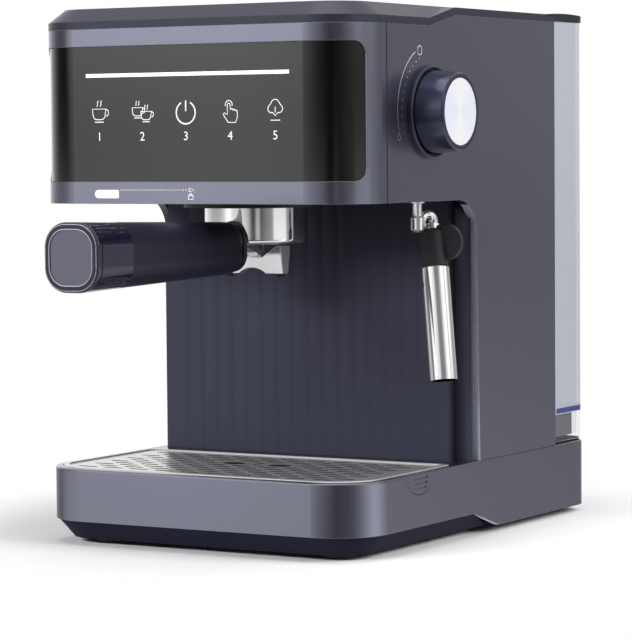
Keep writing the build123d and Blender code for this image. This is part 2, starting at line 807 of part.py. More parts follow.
# Rear wall between the panels, with two stiffening ribs inside
with BuildPart() as rear_wall:
    with BuildSketch(level(BASE_TOP)):
        with Locations((0, BODY_BACK)):
            Rectangle(2 * splash_half, REAR_WALL_T, align=(Align.CENTER, Align.MAX))
        with Locations((0, BODY_BACK - REAR_WALL_T)):
            with GridLocations(splash_half, 0, 2, 1):
                Rectangle(REAR_RIB_W, REAR_RIB_D, align=(Align.CENTER, Align.MAX))
    extrude(amount=rear_seam - BASE_TOP)
    with BuildSketch(facing_front(board_y - BOARD_T)):
        with Locations((BOARD_X, BOARD_Z)):
            Rectangle(BOARD_W + 2 * RUN, BOARD_H + 2 * RUN)
    extrude(amount=-STANDOFF_L - BOARD_T, mode=Mode.SUBTRACT)
rear_wall.part.label = "rear_wall"
export_step(rear_wall.part, "parts/rear_wall.step")


def wrapped_band(outer_inset, inner_inset, grow):
    """A band that follows the head's front round both corners, with rounded ends."""
    with BuildPart() as band:
        with BuildSketch(level(GLASS_BOTTOM - grow)):
            add(head_plan(outer_inset, FASCIA_BACK))
            add(head_plan(inner_inset, FASCIA_BACK), mode=Mode.SUBTRACT)
        extrude(amount=GLASS_TOP - GLASS_BOTTOM + 2 * grow)
        with BuildSketch(facing_right(0)) as reach:
            with Locations((GLASS_END + grow, (GLASS_BOTTOM + GLASS_TOP) / 2)):
                Rectangle(
                    GLASS_END - 2 * HEAD_FRONT + grow,
                    GLASS_TOP - GLASS_BOTTOM + 2 * grow,
                    align=(Align.MAX, Align.CENTER),
                )
            fillet(reach.vertices().group_by(Axis.X)[-1], GLASS_END_R + grow)
        extrude(amount=HEAD_W, both=True, mode=Mode.INTERSECT)
    return band.part


glass_back = GLASS_DROP + GLASS_T
glass_recess = wrapped_band(-GLASS_DROP, glass_back, GLASS_GAP)

# Fascia: the front of the head, wrapped round both corners, with a recess for the glass
with BuildPart() as fascia:
    with BuildSketch(level(HEAD_BOTTOM)):
        add(head_plan(0, FASCIA_BACK - FASCIA_GAP))
        add(head_plan(FASCIA_T, FASCIA_BACK), mode=Mode.SUBTRACT)
    extrude(amount=COVER_SEAM - HEAD_BOTTOM)
    add(glass_recess, mode=Mode.SUBTRACT)
fascia.part.label = "fascia"
export_step(fascia.part, "parts/fascia.step")

# Touch glass, with a groove for the light bar
with BuildPart() as touch_glass:
    add(wrapped_band(GLASS_DROP, glass_back, 0))
    with BuildSketch(facing_front(HEAD_FRONT + GLASS_DROP)):
        with Locations((0, LIGHT_Z)):
            Rectangle(LIGHT_W, LIGHT_H)
    extrude(amount=-LIGHT_T, mode=Mode.SUBTRACT)
touch_glass.part.label = "touch_glass"
export_step(touch_glass.part, "parts/touch_glass.step")

with BuildPart() as light_bar:
    with BuildSketch(facing_front(HEAD_FRONT + GLASS_DROP)):
        with Locations((0, LIGHT_Z)):
            Rectangle(LIGHT_W, LIGHT_H)
    extrude(amount=-LIGHT_T)
light_bar.part.label = "light_bar"
export_step(light_bar.part, "parts/light_bar.step")

# Touch board on the back of the fascia
with BuildPart() as touch_board:
    with BuildSketch(facing_front(HEAD_FRONT + FASCIA_T)):
        with Locations((0, (GLASS_BOTTOM + GLASS_TOP) / 2)):
            RectangleRounded(TOUCH_BOARD_W, TOUCH_BOARD_H, FASCIA_T)
    extrude(amount=-BOARD_T)
touch_board.part.label = "touch_board"
export_step(touch_board.part, "parts/touch_board.step")

# Top cover: hipped front, raised rear seam, cup-warming recess and a scoop for the tank lid
with BuildPart() as top_cover:
    with BuildSketch(level(COVER_SEAM)):
        add(head_plan(0, BODY_BACK))
    extrude(amount=BAND_H)
    with BuildSketch(level(band_top)):
        add(head_plan(0, BODY_BACK))
    with BuildSketch(level(COVER_TOP)):
        add(head_plan(COVER_CHAMFER, BODY_BACK))
    loft(ruled=True)
    with BuildSketch(facing_right(-panel_x)):
        with BuildLine():
            Polyline(
                (STEP_FRONT, COVER_SEAM),
                (STEP_FRONT, band_top),
                (STEP_BACK, rear_band_top),
                (BODY_BACK, rear_band_top),
                (BODY_BACK, COVER_SEAM),
                close=True,
            )
        make_face()
    extrude(amount=HEAD_W)
    with BuildSketch(facing_right(-panel_x)):
        with BuildLine():
            Polyline(
                (STEP_FRONT, COVER_SEAM),
                (STEP_BACK, rear_seam),
                (BODY_BACK, rear_seam),
                (BODY_BACK, COVER_SEAM),
                close=True,
            )
        make_face()
    extrude(amount=HEAD_W, mode=Mode.SUBTRACT)
    with BuildSketch(level(COVER_SEAM)):
        add(head_plan(COVER_RIM, BODY_BACK - COVER_RIM))
    extrude(amount=COVER_TOP - COVER_T - COVER_SEAM, mode=Mode.SUBTRACT)
    with BuildSketch(level(COVER_TOP, y=WARM_Y)):
        RectangleRounded(WARM_W, WARM_L, WARM_R)
    extrude(amount=-WARM_DEPTH, mode=Mode.SUBTRACT)
    with BuildSketch(level(COVER_TOP - WARM_DEPTH, y=WARM_Y)):
        with GridLocations(WARM_RIB_PITCH, 0, WARM_RIB_COUNT, 1):
            SlotOverall(WARM_L - 2 * WARM_R, WARM_RIB_W, rotation=90)
    extrude(amount=WARM_RIB_H)
    with BuildSketch(level(scoop_z)):
        with Locations((0, BODY_BACK)):
            Rectangle(
                HEAD_W, BODY_BACK - LID_FRONT + CLEAR, align=(Align.CENTER, Align.MAX)
            )
    extrude(amount=COVER_TOP - scoop_z, mode=Mode.SUBTRACT)
top_cover.part.label = "top_cover"
export_step(top_cover.part, "parts/top_cover.step")

# Underside of the head, open round the group and the steam pipe
with BuildPart() as head_underside:
    with BuildSketch(level(HEAD_BOTTOM)):
        add(
            plan(
                splash_half,
                HEAD_FRONT + FASCIA_T + RUN,
                SPLASH_Y + SPLASH_DEPTH,
                HEAD_R - PANEL_EDGE,
            )
        )
        with Locations((0, BREW_Y)):
            Circle(COLLAR_R + RUN, mode=Mode.SUBTRACT)
        with Locations((PIPE_X, PIPE_Y)):
            Circle(PIPE_R + CLEAR, mode=Mode.SUBTRACT)
    extrude(amount=UNDERSIDE_T)
head_underside.part.label = "head_underside"
export_step(head_underside.part, "parts/head_underside.step")

# Group collar: bayonet ledge with two entry gaps, gasket groove and a flange on the underside plate
flange_z = HEAD_BOTTOM + UNDERSIDE_T
bayonet_r = LUG_R + 2 * RUN
groove_r = BLOCK_BOSS_R + RUN + GASKET_W + 2 * RUN
with BuildPart() as group_collar:
    with BuildSketch(around(0, BREW_Y)):
        with BuildLine():
            Polyline(
                (BOWL_R + 2 * RUN, COLLAR_BOTTOM),
                (COLLAR_R, COLLAR_BOTTOM),
                (COLLAR_R, flange_z),
                (COLLAR_FLANGE_R, flange_z),
                (COLLAR_FLANGE_R, flange_z + UNDERSIDE_T),
                (COLLAR_R, flange_z + UNDERSIDE_T),
                (COLLAR_R, collar_top),
                (BLOCK_BOSS_R + RUN, collar_top),
                (BLOCK_BOSS_R + RUN, gasket_top),
                (groove_r, gasket_top),
                (groove_r, basket_top + 2 * RUN),
                (bayonet_r, basket_top + 2 * RUN),
                (bayonet_r, bayonet_top),
                (BOWL_R + 2 * RUN, bayonet_top),
                close=True,
            )
        make_face()
    revolve(axis=upright_axis(0, BREW_Y))
    for lug_angle in (0, 180):
        with BuildSketch(around(0, BREW_Y, lug_angle - UNLOCK_ANGLE - ENTRY_ARC / 2)):
            with Locations((BOWL_R, COLLAR_BOTTOM)):
                Rectangle(bayonet_r - BOWL_R, BAYONET_T, align=(Align.MIN, Align.MIN))
        revolve(axis=upright_axis(0, BREW_Y), revolution_arc=ENTRY_ARC, mode=Mode.SUBTRACT)
group_collar.part.label = "group_collar"
export_step(group_collar.part, "parts/group_collar.step")

with BuildPart() as group_gasket:
    with BuildSketch(level(gasket_bottom, y=BREW_Y)):
        Circle(BLOCK_BOSS_R + 2 * RUN + GASKET_W)
        Circle(BLOCK_BOSS_R + 2 * RUN, mode=Mode.SUBTRACT)
    extrude(amount=GASKET_T)
group_gasket.part.label = "group_gasket"
export_step(group_gasket.part, "parts/group_gasket.step")

# Thermoblock: the boiler casting that carries the group, with its heater ends and ports
with BuildPart() as thermoblock:
    with BuildSketch(level(collar_top, y=BREW_Y)):
        RectangleRounded(BLOCK_W, BLOCK_D, BLOCK_R)
    extrude(amount=BLOCK_H)
    with BuildSketch(level(block_top, y=BREW_Y)):
        RectangleRounded(BLOCK_W - 2 * BLOCK_CAP_INSET, BLOCK_D - 2 * BLOCK_CAP_INSET, BLOCK_R)
    extrude(amount=BLOCK_CAP_H)
    with BuildSketch(level(collar_top, y=BREW_Y)):
        Circle(BLOCK_BOSS_R)
    extrude(amount=-BLOCK_BOSS_H)
    with BuildSketch(level(block_boss_z, y=BREW_Y)):
        Circle(SHOWER_SCREW_R + SLIP)
    extrude(amount=SHOWER_SCREW_L, mode=Mode.SUBTRACT)
    with BuildSketch(facing_right(-BLOCK_W / 2, BREW_Y, collar_top + BLOCK_H / 2)):
        with GridLocations(HEATER_SPAN, 0, 2, 1):
            Circle(HEATER_R)
    extrude(amount=-HEATER_L)
    with BuildSketch(facing_front(BREW_Y + BLOCK_D / 2, BLOCK_INLET_X, collar_top + BLOCK_H / 2)):
        Circle(PORT_R)
    extrude(amount=-PORT_L)
    with BuildSketch(level(block_top + BLOCK_CAP_H, STEAM_PORT_X, BREW_Y)):
        Circle(PORT_R)
    extrude(amount=PORT_L)
thermoblock.part.label = "thermoblock"
export_step(thermoblock.part, "parts/thermoblock.step")

# Safety and control thermostats on top of the block
with BuildPart() as thermostats:
    with BuildSketch(level(block_top + BLOCK_CAP_H, x=-STEAM_PORT_X, y=BREW_Y)):
        with GridLocations(0, THERMOSTAT_SPAN / 2, 1, 2):
            Circle(THERMOSTAT_R)
    extrude(amount=THERMOSTAT_H)
thermostats.part.label = "thermostats"
export_step(thermostats.part, "parts/thermostats.step")

# Shower screen and its screw
with BuildPart() as shower_screen:
    with BuildSketch(level(block_boss_z - SCREEN_T, y=BREW_Y)):
        Circle(SCREEN_R)
        with HexLocations(SCREEN_HOLE_PITCH / 2, 7, 7):
            RegularPolygon(SCREEN_HOLE_R, 6, mode=Mode.SUBTRACT)
        Circle(SHOWER_SCREW_R + SLIP, mode=Mode.SUBTRACT)
    extrude(amount=SCREEN_T)
shower_screen.part.label = "shower_screen"
export_step(shower_screen.part, "parts/shower_screen.step")

with BuildPart() as shower_screw:
    with BuildSketch(level(block_boss_z - SCREEN_T, y=BREW_Y)):
        Circle(SHOWER_HEAD_R)
    extrude(amount=-SHOWER_HEAD_T)
    with BuildSketch(level(block_boss_z - SCREEN_T, y=BREW_Y)):
        Circle(SHOWER_SCREW_R)
    extrude(amount=SHOWER_SCREW_L)
shower_screw.part.label = "shower_screw"
export_step(shower_screw.part, "parts/shower_screw.step")

# Portafilter bowl: turned shell with two bayonet lugs, the drain boss and the neck for the handle
with BuildPart() as portafilter_bowl:
    with BuildSketch(around(0, BREW_Y)):
        with BuildLine():
            Polyline(
                (BOWL_DRAIN_R, boss_bottom),
                (BOWL_BOSS_R, boss_bottom),
                (BOWL_BOSS_R, BOWL_BOTTOM),
                (BOWL_R - BOWL_EDGE, BOWL_BOTTOM),
            )
            RadiusArc(
                (BOWL_R - BOWL_EDGE, BOWL_BOTTOM), (BOWL_R, BOWL_BOTTOM + BOWL_EDGE), -BOWL_EDGE
            )
            Polyline(
                (BOWL_R, BOWL_BOTTOM + BOWL_EDGE),
                (BOWL_R, rim_top),
                (bowl_inner_r, rim_top),
                (bowl_inner_r, BOWL_BOTTOM + BOWL_FLOOR_T),
                (BOWL_DRAIN_R, BOWL_BOTTOM + BOWL_FLOOR_T),
                (BOWL_DRAIN_R, boss_bottom),
            )
        make_face()
    revolve(axis=upright_axis(0, BREW_Y))
    for lug_angle in (0, 180):
        with BuildSketch(around(0, BREW_Y, lug_angle - LUG_ARC / 2)):
            with Locations((BOWL_R - BOWL_WALL / 2, lug_bottom)):
                Rectangle(LUG_R - BOWL_R + BOWL_WALL / 2, LUG_T, align=(Align.MIN, Align.MIN))
        revolve(axis=upright_axis(0, BREW_Y), revolution_arc=LUG_ARC)
    with BuildSketch(facing_front(HANDLE_NECK_Y, z=neck_z)):
        RectangleRounded(NECK_W, NECK_H, NECK_R)
    extrude(amount=HANDLE_NECK_Y + BOWL_BOSS_R / 2 - BREW_Y)
    with BuildSketch(facing_front(HANDLE_NECK_Y, z=HANDLE_Z)):
        Circle(BOLT_R + SLIP)
    extrude(amount=-BOLT_GRIP, mode=Mode.SUBTRACT)
portafilter_bowl.part.label = "portafilter_bowl"
export_step(portafilter_bowl.part, "parts/portafilter_bowl.step")

# Filter basket, hung by its rim on the bowl
with BuildPart() as filter_basket:
    with BuildSketch(around(0, BREW_Y)):
        with BuildLine():
            Polyline(
                (0, basket_floor),
                (basket_r, basket_floor),
                (basket_r, rim_top),
                (BOWL_R, rim_top),
                (BOWL_R, basket_top),
                (basket_r - BASKET_WALL, basket_top),
                (basket_r - BASKET_WALL, basket_floor + BASKET_WALL),
                (0, basket_floor + BASKET_WALL),
                close=True,
            )
        make_face()
    revolve(axis=upright_axis(0, BREW_Y))
    with BuildSketch(level(basket_floor, y=BREW_Y)):
        with HexLocations(BASKET_HOLE_PITCH / 2, 5, 5):
            RegularPolygon(BASKET_HOLE_R, 6)
    extrude(amount=BASKET_WALL, mode=Mode.SUBTRACT)
filter_basket.part.label = "filter_basket"
export_step(filter_basket.part, "parts/filter_basket.step")

# Double spout: two feet joined by an arch; the front and back lean in towards the feet
with BuildPart() as spout:
    shoulder_z = BOWL_BOTTOM - SPOUT_SHOULDER_DROP
    with BuildSketch(facing_front(BREW_Y + SPOUT_T / 2)) as spout_front:
        with BuildLine():
            Polyline(
                (-SPOUT_ARCH_W / 2, SPOUT_BOTTOM),
                (-SPOUT_HALF_W, SPOUT_BOTTOM),
                (-SPOUT_HALF_W, shoulder_z),
                (SPOUT_SHOULDER_W - SPOUT_HALF_W, shoulder_z),
                (-BOWL_BOSS_R - RUN, boss_bottom),
                (BOWL_BOSS_R + RUN, boss_bottom),
                (SPOUT_HALF_W - SPOUT_SHOULDER_W, shoulder_z),
                (SPOUT_HALF_W, shoulder_z),
                (SPOUT_HALF_W, SPOUT_BOTTOM),
                (SPOUT_ARCH_W / 2, SPOUT_BOTTOM),
            )
            ThreePointArc(
                (SPOUT_ARCH_W / 2, SPOUT_BOTTOM),
                (0, SPOUT_BOTTOM + SPOUT_ARCH_H),
                (-SPOUT_ARCH_W / 2, SPOUT_BOTTOM),
            )
        make_face()
        fillet(spout_front.vertices().group_by(Axis.Y)[-1], SPOUT_EDGE)
    extrude(amount=SPOUT_T)
    with BuildSketch(facing_right(0, BREW_Y)):
        with BuildLine():
            Polyline(
                (-SPOUT_FOOT_T / 2, SPOUT_BOTTOM - RUN),
                (-SPOUT_T / 2 - RUN, shoulder_z + RUN),
                (SPOUT_T / 2 + RUN, shoulder_z + RUN),
                (SPOUT_FOOT_T / 2, SPOUT_BOTTOM - RUN),
                close=True,
            )
        make_face()
    extrude(amount=SPOUT_HALF_W + RUN, both=True, mode=Mode.INTERSECT)
    with BuildSketch(level(SPOUT_BOTTOM, y=BREW_Y)):
        with GridLocations(2 * SPOUT_BORE_X, 0, 2, 1):
            Circle(TIP_R + SLIP)
    extrude(amount=TIP_L - TIP_PROUD, mode=Mode.SUBTRACT)
spout.part.label = "spout"
export_step(spout.part, "parts/spout.step")

# Rubber tips pressed into the spout's feet
with BuildPart() as spout_tips:
    with BuildSketch(level(SPOUT_BOTTOM - TIP_PROUD, y=BREW_Y)):
        with GridLocations(2 * SPOUT_BORE_X, 0, 2, 1):
            Circle(TIP_R)
            Circle(TIP_BORE_R, mode=Mode.SUBTRACT)
    extrude(amount=TIP_L)
spout_tips.part.label = "spout_tips"
export_step(spout_tips.part, "parts/spout_tips.step")


def handle_section(y, grow=0.0):
    """Rounded-square section of the handle at y: it tapers from the tip to the neck."""
    share = (y + HANDLE_REACH) / (HANDLE_NECK_Y + HANDLE_REACH)
    width = HANDLE_TIP_W + (HANDLE_NECK_W - HANDLE_TIP_W) * share + 2 * grow
    height = HANDLE_TIP_H + (HANDLE_NECK_H - HANDLE_TIP_H) * share + 2 * grow
    with BuildSketch() as section:
        RectangleRounded(width, height, HANDLE_CORNER * min(width, height))
    return section.sketch


# Handle: grip, gloss band, end cap, ferrule and the bolt that holds them to the neck
with BuildPart() as portafilter_handle:
    with BuildSketch(facing_front(band_back, z=HANDLE_Z)):
        add(handle_section(band_back))
    with BuildSketch(facing_front(HANDLE_NECK_Y, z=HANDLE_Z)):
        add(handle_section(HANDLE_NECK_Y))
    loft(ruled=True)
    fillet(portafilter_handle.faces().sort_by(Axis.Y)[-1].edges(), HANDLE_NECK_R)
    with BuildSketch(facing_front(band_back, z=HANDLE_Z)):
        Circle(BOLT_HEAD_R + SLIP)
    extrude(amount=-BOLT_HEAD_L, mode=Mode.SUBTRACT)
    with BuildSketch(facing_front(band_back, z=HANDLE_Z)):
        Circle(BOLT_R + SLIP)
    extrude(amount=band_back - HANDLE_NECK_Y, mode=Mode.SUBTRACT)
portafilter_handle.part.label = "portafilter_handle"
export_step(portafilter_handle.part, "parts/portafilter_handle.step")

with BuildPart() as handle_band:
    with BuildSketch(facing_front(-HANDLE_REACH, z=HANDLE_Z)):
        add(handle_section(-HANDLE_REACH))
    with BuildSketch(facing_front(band_back, z=HANDLE_Z)):
        add(handle_section(band_back))
    loft(ruled=True)
    fillet(handle_band.faces().sort_by(Axis.Y)[0].edges(), CAP_RIM_R)
    with BuildSketch(facing_front(-HANDLE_REACH, z=HANDLE_Z)):
        add(handle_section(-HANDLE_REACH, -CAP_RIM_W))
    extrude(amount=-CAP_RECESS, mode=Mode.SUBTRACT)
    groove_y = RIM_GROOVE_Y - HANDLE_REACH
    with BuildSketch(facing_front(groove_y, z=HANDLE_Z)):
        add(handle_section(groove_y, RIM_GROOVE_D))
        add(handle_section(groove_y, -RIM_GROOVE_D), mode=Mode.SUBTRACT)
    extrude(amount=-RIM_GROOVE_W, mode=Mode.SUBTRACT)
handle_band.part.label = "handle_band"
export_step(handle_band.part, "parts/handle_band.step")

with BuildPart() as handle_end_cap:
    with BuildSketch(facing_front(CAP_RECESS - HANDLE_REACH, z=HANDLE_Z)):
        add(handle_section(-HANDLE_REACH, -CAP_RIM_W - SLIP))
    extrude(amount=CAP_T)
handle_end_cap.part.label = "handle_end_cap"
export_step(handle_end_cap.part, "parts/handle_end_cap.step")

with BuildPart() as handle_ferrule:
    with BuildSketch(facing_front(HANDLE_NECK_Y, z=HANDLE_Z)):
        add(handle_section(HANDLE_NECK_Y, FERRULE_GROW - HANDLE_NECK_R / 2))
        with Locations((0, -NECK_DROP)):
            RectangleRounded(NECK_W + 2 * SLIP, NECK_H + 2 * SLIP, NECK_R, mode=Mode.SUBTRACT)
    extrude(amount=-FERRULE_T)
handle_ferrule.part.label = "handle_ferrule"
export_step(handle_ferrule.part, "parts/handle_ferrule.step")

with BuildPart() as handle_bolt:
    with BuildSketch(facing_front(band_back, z=HANDLE_Z)):
        Circle(BOLT_HEAD_R)
    extrude(amount=-BOLT_HEAD_L)
    with BuildSketch(facing_front(band_back, z=HANDLE_Z)):
        Circle(BOLT_R)
    extrude(amount=band_back - HANDLE_NECK_Y - BOLT_GRIP + RUN)
handle_bolt.part.label = "handle_bolt"
export_step(handle_bolt.part, "parts/handle_bolt.step")

# Steam knob, its cap, its spindle and the bezel on the side panel
knob_plane = facing_front(KNOB_Y, z=KNOB_Z)
knob_axis = Axis(at(0, KNOB_Y, KNOB_Z), (1, 0, 0))
with BuildPart() as steam_knob:
    with BuildSketch(knob_plane):
        with BuildLine():
            Polyline(
                (knob_back_x, SPINDLE_R + SLIP),
                (knob_back_x, KNOB_R),
                (knob_face_x - KNOB_BEVEL, KNOB_FACE_R),
                (knob_face_x, KNOB_FACE_R - KNOB_BEVEL),
                (knob_face_x, CAP_DISC_R + RUN),
                (knob_face_x - KNOB_RECESS, CAP_DISC_R + RUN),
                (knob_face_x - KNOB_RECESS, 0),
                (knob_back_x + KNOB_BORE_L, 0),
                (knob_back_x + KNOB_BORE_L, SPINDLE_R + SLIP),
                close=True,
            )
        make_face()
    revolve(axis=knob_axis)
steam_knob.part.label = "steam_knob"
export_step(steam_knob.part, "parts/steam_knob.step")

with BuildPart() as knob_cap:
    with BuildSketch(knob_plane):
        cap_back = knob_face_x - KNOB_RECESS
        with BuildLine():
            Polyline(
                (cap_back, 0),
                (cap_back, CAP_DISC_R),
                (cap_back + CAP_DISC_T, CAP_DISC_R),
                (cap_back + CAP_DISC_T - CAP_DISC_DISH, 0),
                close=True,
            )
        make_face()
    revolve(axis=knob_axis)
knob_cap.part.label = "knob_cap"
export_step(knob_cap.part, "parts/knob_cap.step")

with BuildPart() as valve_spindle:
    with BuildSketch(facing_right(SPINDLE_INNER_X, KNOB_Y, KNOB_Z)):
        Circle(SPINDLE_R)
    extrude(amount=knob_back_x + KNOB_BORE_L - SLIP - SPINDLE_INNER_X)
valve_spindle.part.label = "valve_spindle"
export_step(valve_spindle.part, "parts/valve_spindle.step")

with BuildPart() as knob_bezel:
    with BuildSketch(knob_plane):
        with BuildLine():
            Polyline(
                (panel_x, SPINDLE_HOLE_R),
                (panel_x, BEZEL_R),
                (panel_x + BEZEL_H - BEZEL_LIP / 2, BEZEL_R),
                (panel_x + BEZEL_H, BEZEL_R - BEZEL_LIP / 2),
                (panel_x + BEZEL_H, BEZEL_R - BEZEL_LIP),
                (panel_x + BEZEL_PLATE_T, BEZEL_R - BEZEL_LIP),
                (panel_x + BEZEL_PLATE_T, SPINDLE_HOLE_R),
                close=True,
            )
        make_face()
    revolve(axis=knob_axis)
knob_bezel.part.label = "knob_bezel"
export_step(knob_bezel.part, "parts/knob_bezel.step")

# Steam valve, screwed to the inside of the right panel
valve_outer_x = panel_x - PANEL_T
with BuildPart() as steam_valve:
    with BuildSketch(facing_right(VALVE_INNER_X, KNOB_Y, KNOB_Z)):
        RegularPolygon(VALVE_R, 6, major_radius=False)
    extrude(amount=valve_outer_x - VALVE_INNER_X)
    with BuildSketch(facing_right(valve_outer_x, KNOB_Y, KNOB_Z)):
        Circle(VALVE_FLANGE_R)
    extrude(amount=-VALVE_FLANGE_T)
    with BuildSketch(facing_right(VALVE_INNER_X, KNOB_Y, KNOB_Z)):
        Circle(PORT_R)
    extrude(amount=-PORT_L / 2)
    with BuildSketch(level(KNOB_Z, VALVE_OUTLET_X, KNOB_Y)):
        Circle(PORT_R)
    extrude(amount=-VALVE_R - PORT_L / 2)
    with BuildSketch(facing_right(SPINDLE_INNER_X - CLEAR, KNOB_Y, KNOB_Z)):
        Circle(SPINDLE_R + SLIP)
    extrude(amount=valve_outer_x - SPINDLE_INNER_X + CLEAR, mode=Mode.SUBTRACT)
steam_valve.part.label = "steam_valve"
export_step(steam_valve.part, "parts/steam_valve.step")

# Steam pipe from the valve down through the underside, and its flange
valve_outlet_z = KNOB_Z - VALVE_R - PORT_L / 2
with BuildPart() as steam_pipe:
    with BuildLine() as pipe_route:
        FilletPolyline(
            at(VALVE_OUTLET_X, KNOB_Y, valve_outlet_z),
            at(VALVE_OUTLET_X, KNOB_Y, valve_outlet_z - 2 * PORT_L),
            at(PIPE_X, PIPE_Y, HEAD_BOTTOM + PORT_L),
            at(PIPE_X, PIPE_Y, PIPE_END_Z),
            radius=PIPE_BEND_R,
        )
    with BuildSketch(Plane(origin=pipe_route.line @ 0, z_dir=pipe_route.line % 0)):
        Circle(PIPE_R)
    sweep(path=pipe_route.line)
steam_pipe.part.label = "steam_pipe"
export_step(steam_pipe.part, "parts/steam_pipe.step")

with BuildPart() as pipe_flange:
    with BuildSketch(level(HEAD_BOTTOM, PIPE_X, PIPE_Y)):
        Circle(PIPE_FLANGE_R)
        Circle(PIPE_R + SLIP, mode=Mode.SUBTRACT)
    extrude(amount=-PIPE_FLANGE_T)
    chamfer(pipe_flange.faces().sort_by(Axis.Z)[0].edges().sort_by(SortBy.LENGTH)[-1], RUN)
pipe_flange.part.label = "pipe_flange"
export_step(pipe_flange.part, "parts/pipe_flange.step")

# Wand: every piece below the elbow is turned about one slanting axis
wand_top = Vector(at(*WAND_TOP))
wand_dir = (Vector(at(*WAND_FOOT)) - wand_top).normalized()
wand_side = Vector(wand_dir.Y, -wand_dir.X, 0).normalized()
wand_section = Plane(origin=wand_top, x_dir=wand_side, z_dir=wand_side.cross(wand_dir))
wand_axis = Axis(wand_top, wand_dir)
wand_length = (Vector(*WAND_FOOT) - Vector(*WAND_TOP)).length


def across_wand(distance):
    """A plane square to the wand, facing down it, at a distance from its top."""
    return Plane(origin=wand_top + wand_dir * distance, x_dir=wand_side, z_dir=wand_dir)


# Elbow: a knuckle that swivels on the pipe's end and a gooseneck over to the grip
goose_x = WAND_TOP[0] - PIPE_X
goose_y = WAND_TOP[1] - PIPE_Y
goose_reach = hypot(goose_x, goose_y)


def on_goose(reach, z):
    """A point in the gooseneck's upright plane, at a reach from the pipe's axis."""
    return at(PIPE_X + goose_x * reach / goose_reach, PIPE_Y + goose_y * reach / goose_reach, z)


with BuildPart() as wand_elbow:
    with BuildLine() as goose_route:
        ThreePointArc(
            on_goose(GOOSE_START, GOOSE_BASE_Z),
            on_goose(GOOSE_TOP, GOOSE_TOP_Z),
            on_goose(goose_reach, GOOSE_BASE_Z),
        )
    with BuildSketch(Plane(origin=goose_route.line @ 0, z_dir=goose_route.line % 0)):
        Circle(PIPE_R)
    sweep(path=goose_route.line)
    with BuildSketch(around(PIPE_X, PIPE_Y)):
        with BuildLine():
            Polyline(
                (0, KNUCKLE_BOTTOM),
                (KNUCKLE_R - KNUCKLE_EDGE, KNUCKLE_BOTTOM),
                (KNUCKLE_R, KNUCKLE_BOTTOM + KNUCKLE_EDGE),
                (KNUCKLE_R, KNUCKLE_TOP - KNUCKLE_EDGE / 2),
                (KNUCKLE_R - KNUCKLE_EDGE / 2, KNUCKLE_TOP),
                (0, KNUCKLE_TOP),
                close=True,
            )
        make_face()
    revolve(axis=upright_axis(PIPE_X, PIPE_Y))
    with BuildSketch(across_wand(-WAND_COLLAR_H)):
        Circle(WAND_COLLAR_R)
    extrude(amount=WAND_COLLAR_H)
    with BuildSketch(level(PIPE_END_Z - CLEAR, PIPE_X, PIPE_Y)):
        Circle(PIPE_R + SLIP)
    extrude(amount=KNUCKLE_TOP, mode=Mode.SUBTRACT)
wand_elbow.part.label = "wand_elbow"
export_step(wand_elbow.part, "parts/wand_elbow.step")

# Grip of the wand, with a round paddle for the thumb
with BuildPart() as wand_grip:
    with BuildSketch(facing_front(PADDLE_Y, PADDLE_X, PADDLE_Z)):
        Circle(PADDLE_R)
    extrude(amount=PADDLE_T)
    fillet(wand_grip.faces().filter_by(Axis.Y).edges(), PADDLE_EDGE)
    with BuildSketch(wand_section):
        with BuildLine():
            Polyline(
                (0, 0),
                (GRIP_R - GRIP_EDGE, 0),
                (GRIP_R, GRIP_EDGE),
                (GRIP_R, GRIP_L),
                (0, GRIP_L),
                close=True,
            )
        make_face()
    revolve(axis=wand_axis)
    with BuildSketch(across_wand(0)):
        Circle(WAND_COLLAR_R + CLEAR)
    extrude(amount=-PADDLE_R, mode=Mode.SUBTRACT)
    with BuildSketch(across_wand(0)):
        Circle(TUBE_R + SLIP)
    extrude(amount=GRIP_L, mode=Mode.SUBTRACT)
wand_grip.part.label = "wand_grip"
export_step(wand_grip.part, "parts/wand_grip.step")

with BuildPart() as wand_tube:
    with BuildSketch(across_wand(0)):
        Circle(TUBE_R)
    extrude(amount=GRIP_L + TUBE_R)
wand_tube.part.label = "wand_tube"
export_step(wand_tube.part, "parts/wand_tube.step")

# Steam nozzle under the grip
nozzle_end = GRIP_L + NOZZLE_L
with BuildPart() as steam_nozzle:
    with BuildSketch(wand_section):
        with BuildLine():
            Polyline(
                (TUBE_R + SLIP, GRIP_L),
                (NOZZLE_R, GRIP_L),
                (NOZZLE_R, nozzle_end - NOZZLE_TIP_L),
                (NOZZLE_TIP_R, nozzle_end),
                (NOZZLE_TIP_R / 3, nozzle_end),
                (NOZZLE_TIP_R / 3, GRIP_L + TUBE_R + SLIP),
                (TUBE_R + SLIP, GRIP_L + TUBE_R + SLIP),
                close=True,
            )
        make_face()
    revolve(axis=wand_axis)
steam_nozzle.part.label = "steam_nozzle"
export_step(steam_nozzle.part, "parts/steam_nozzle.step")

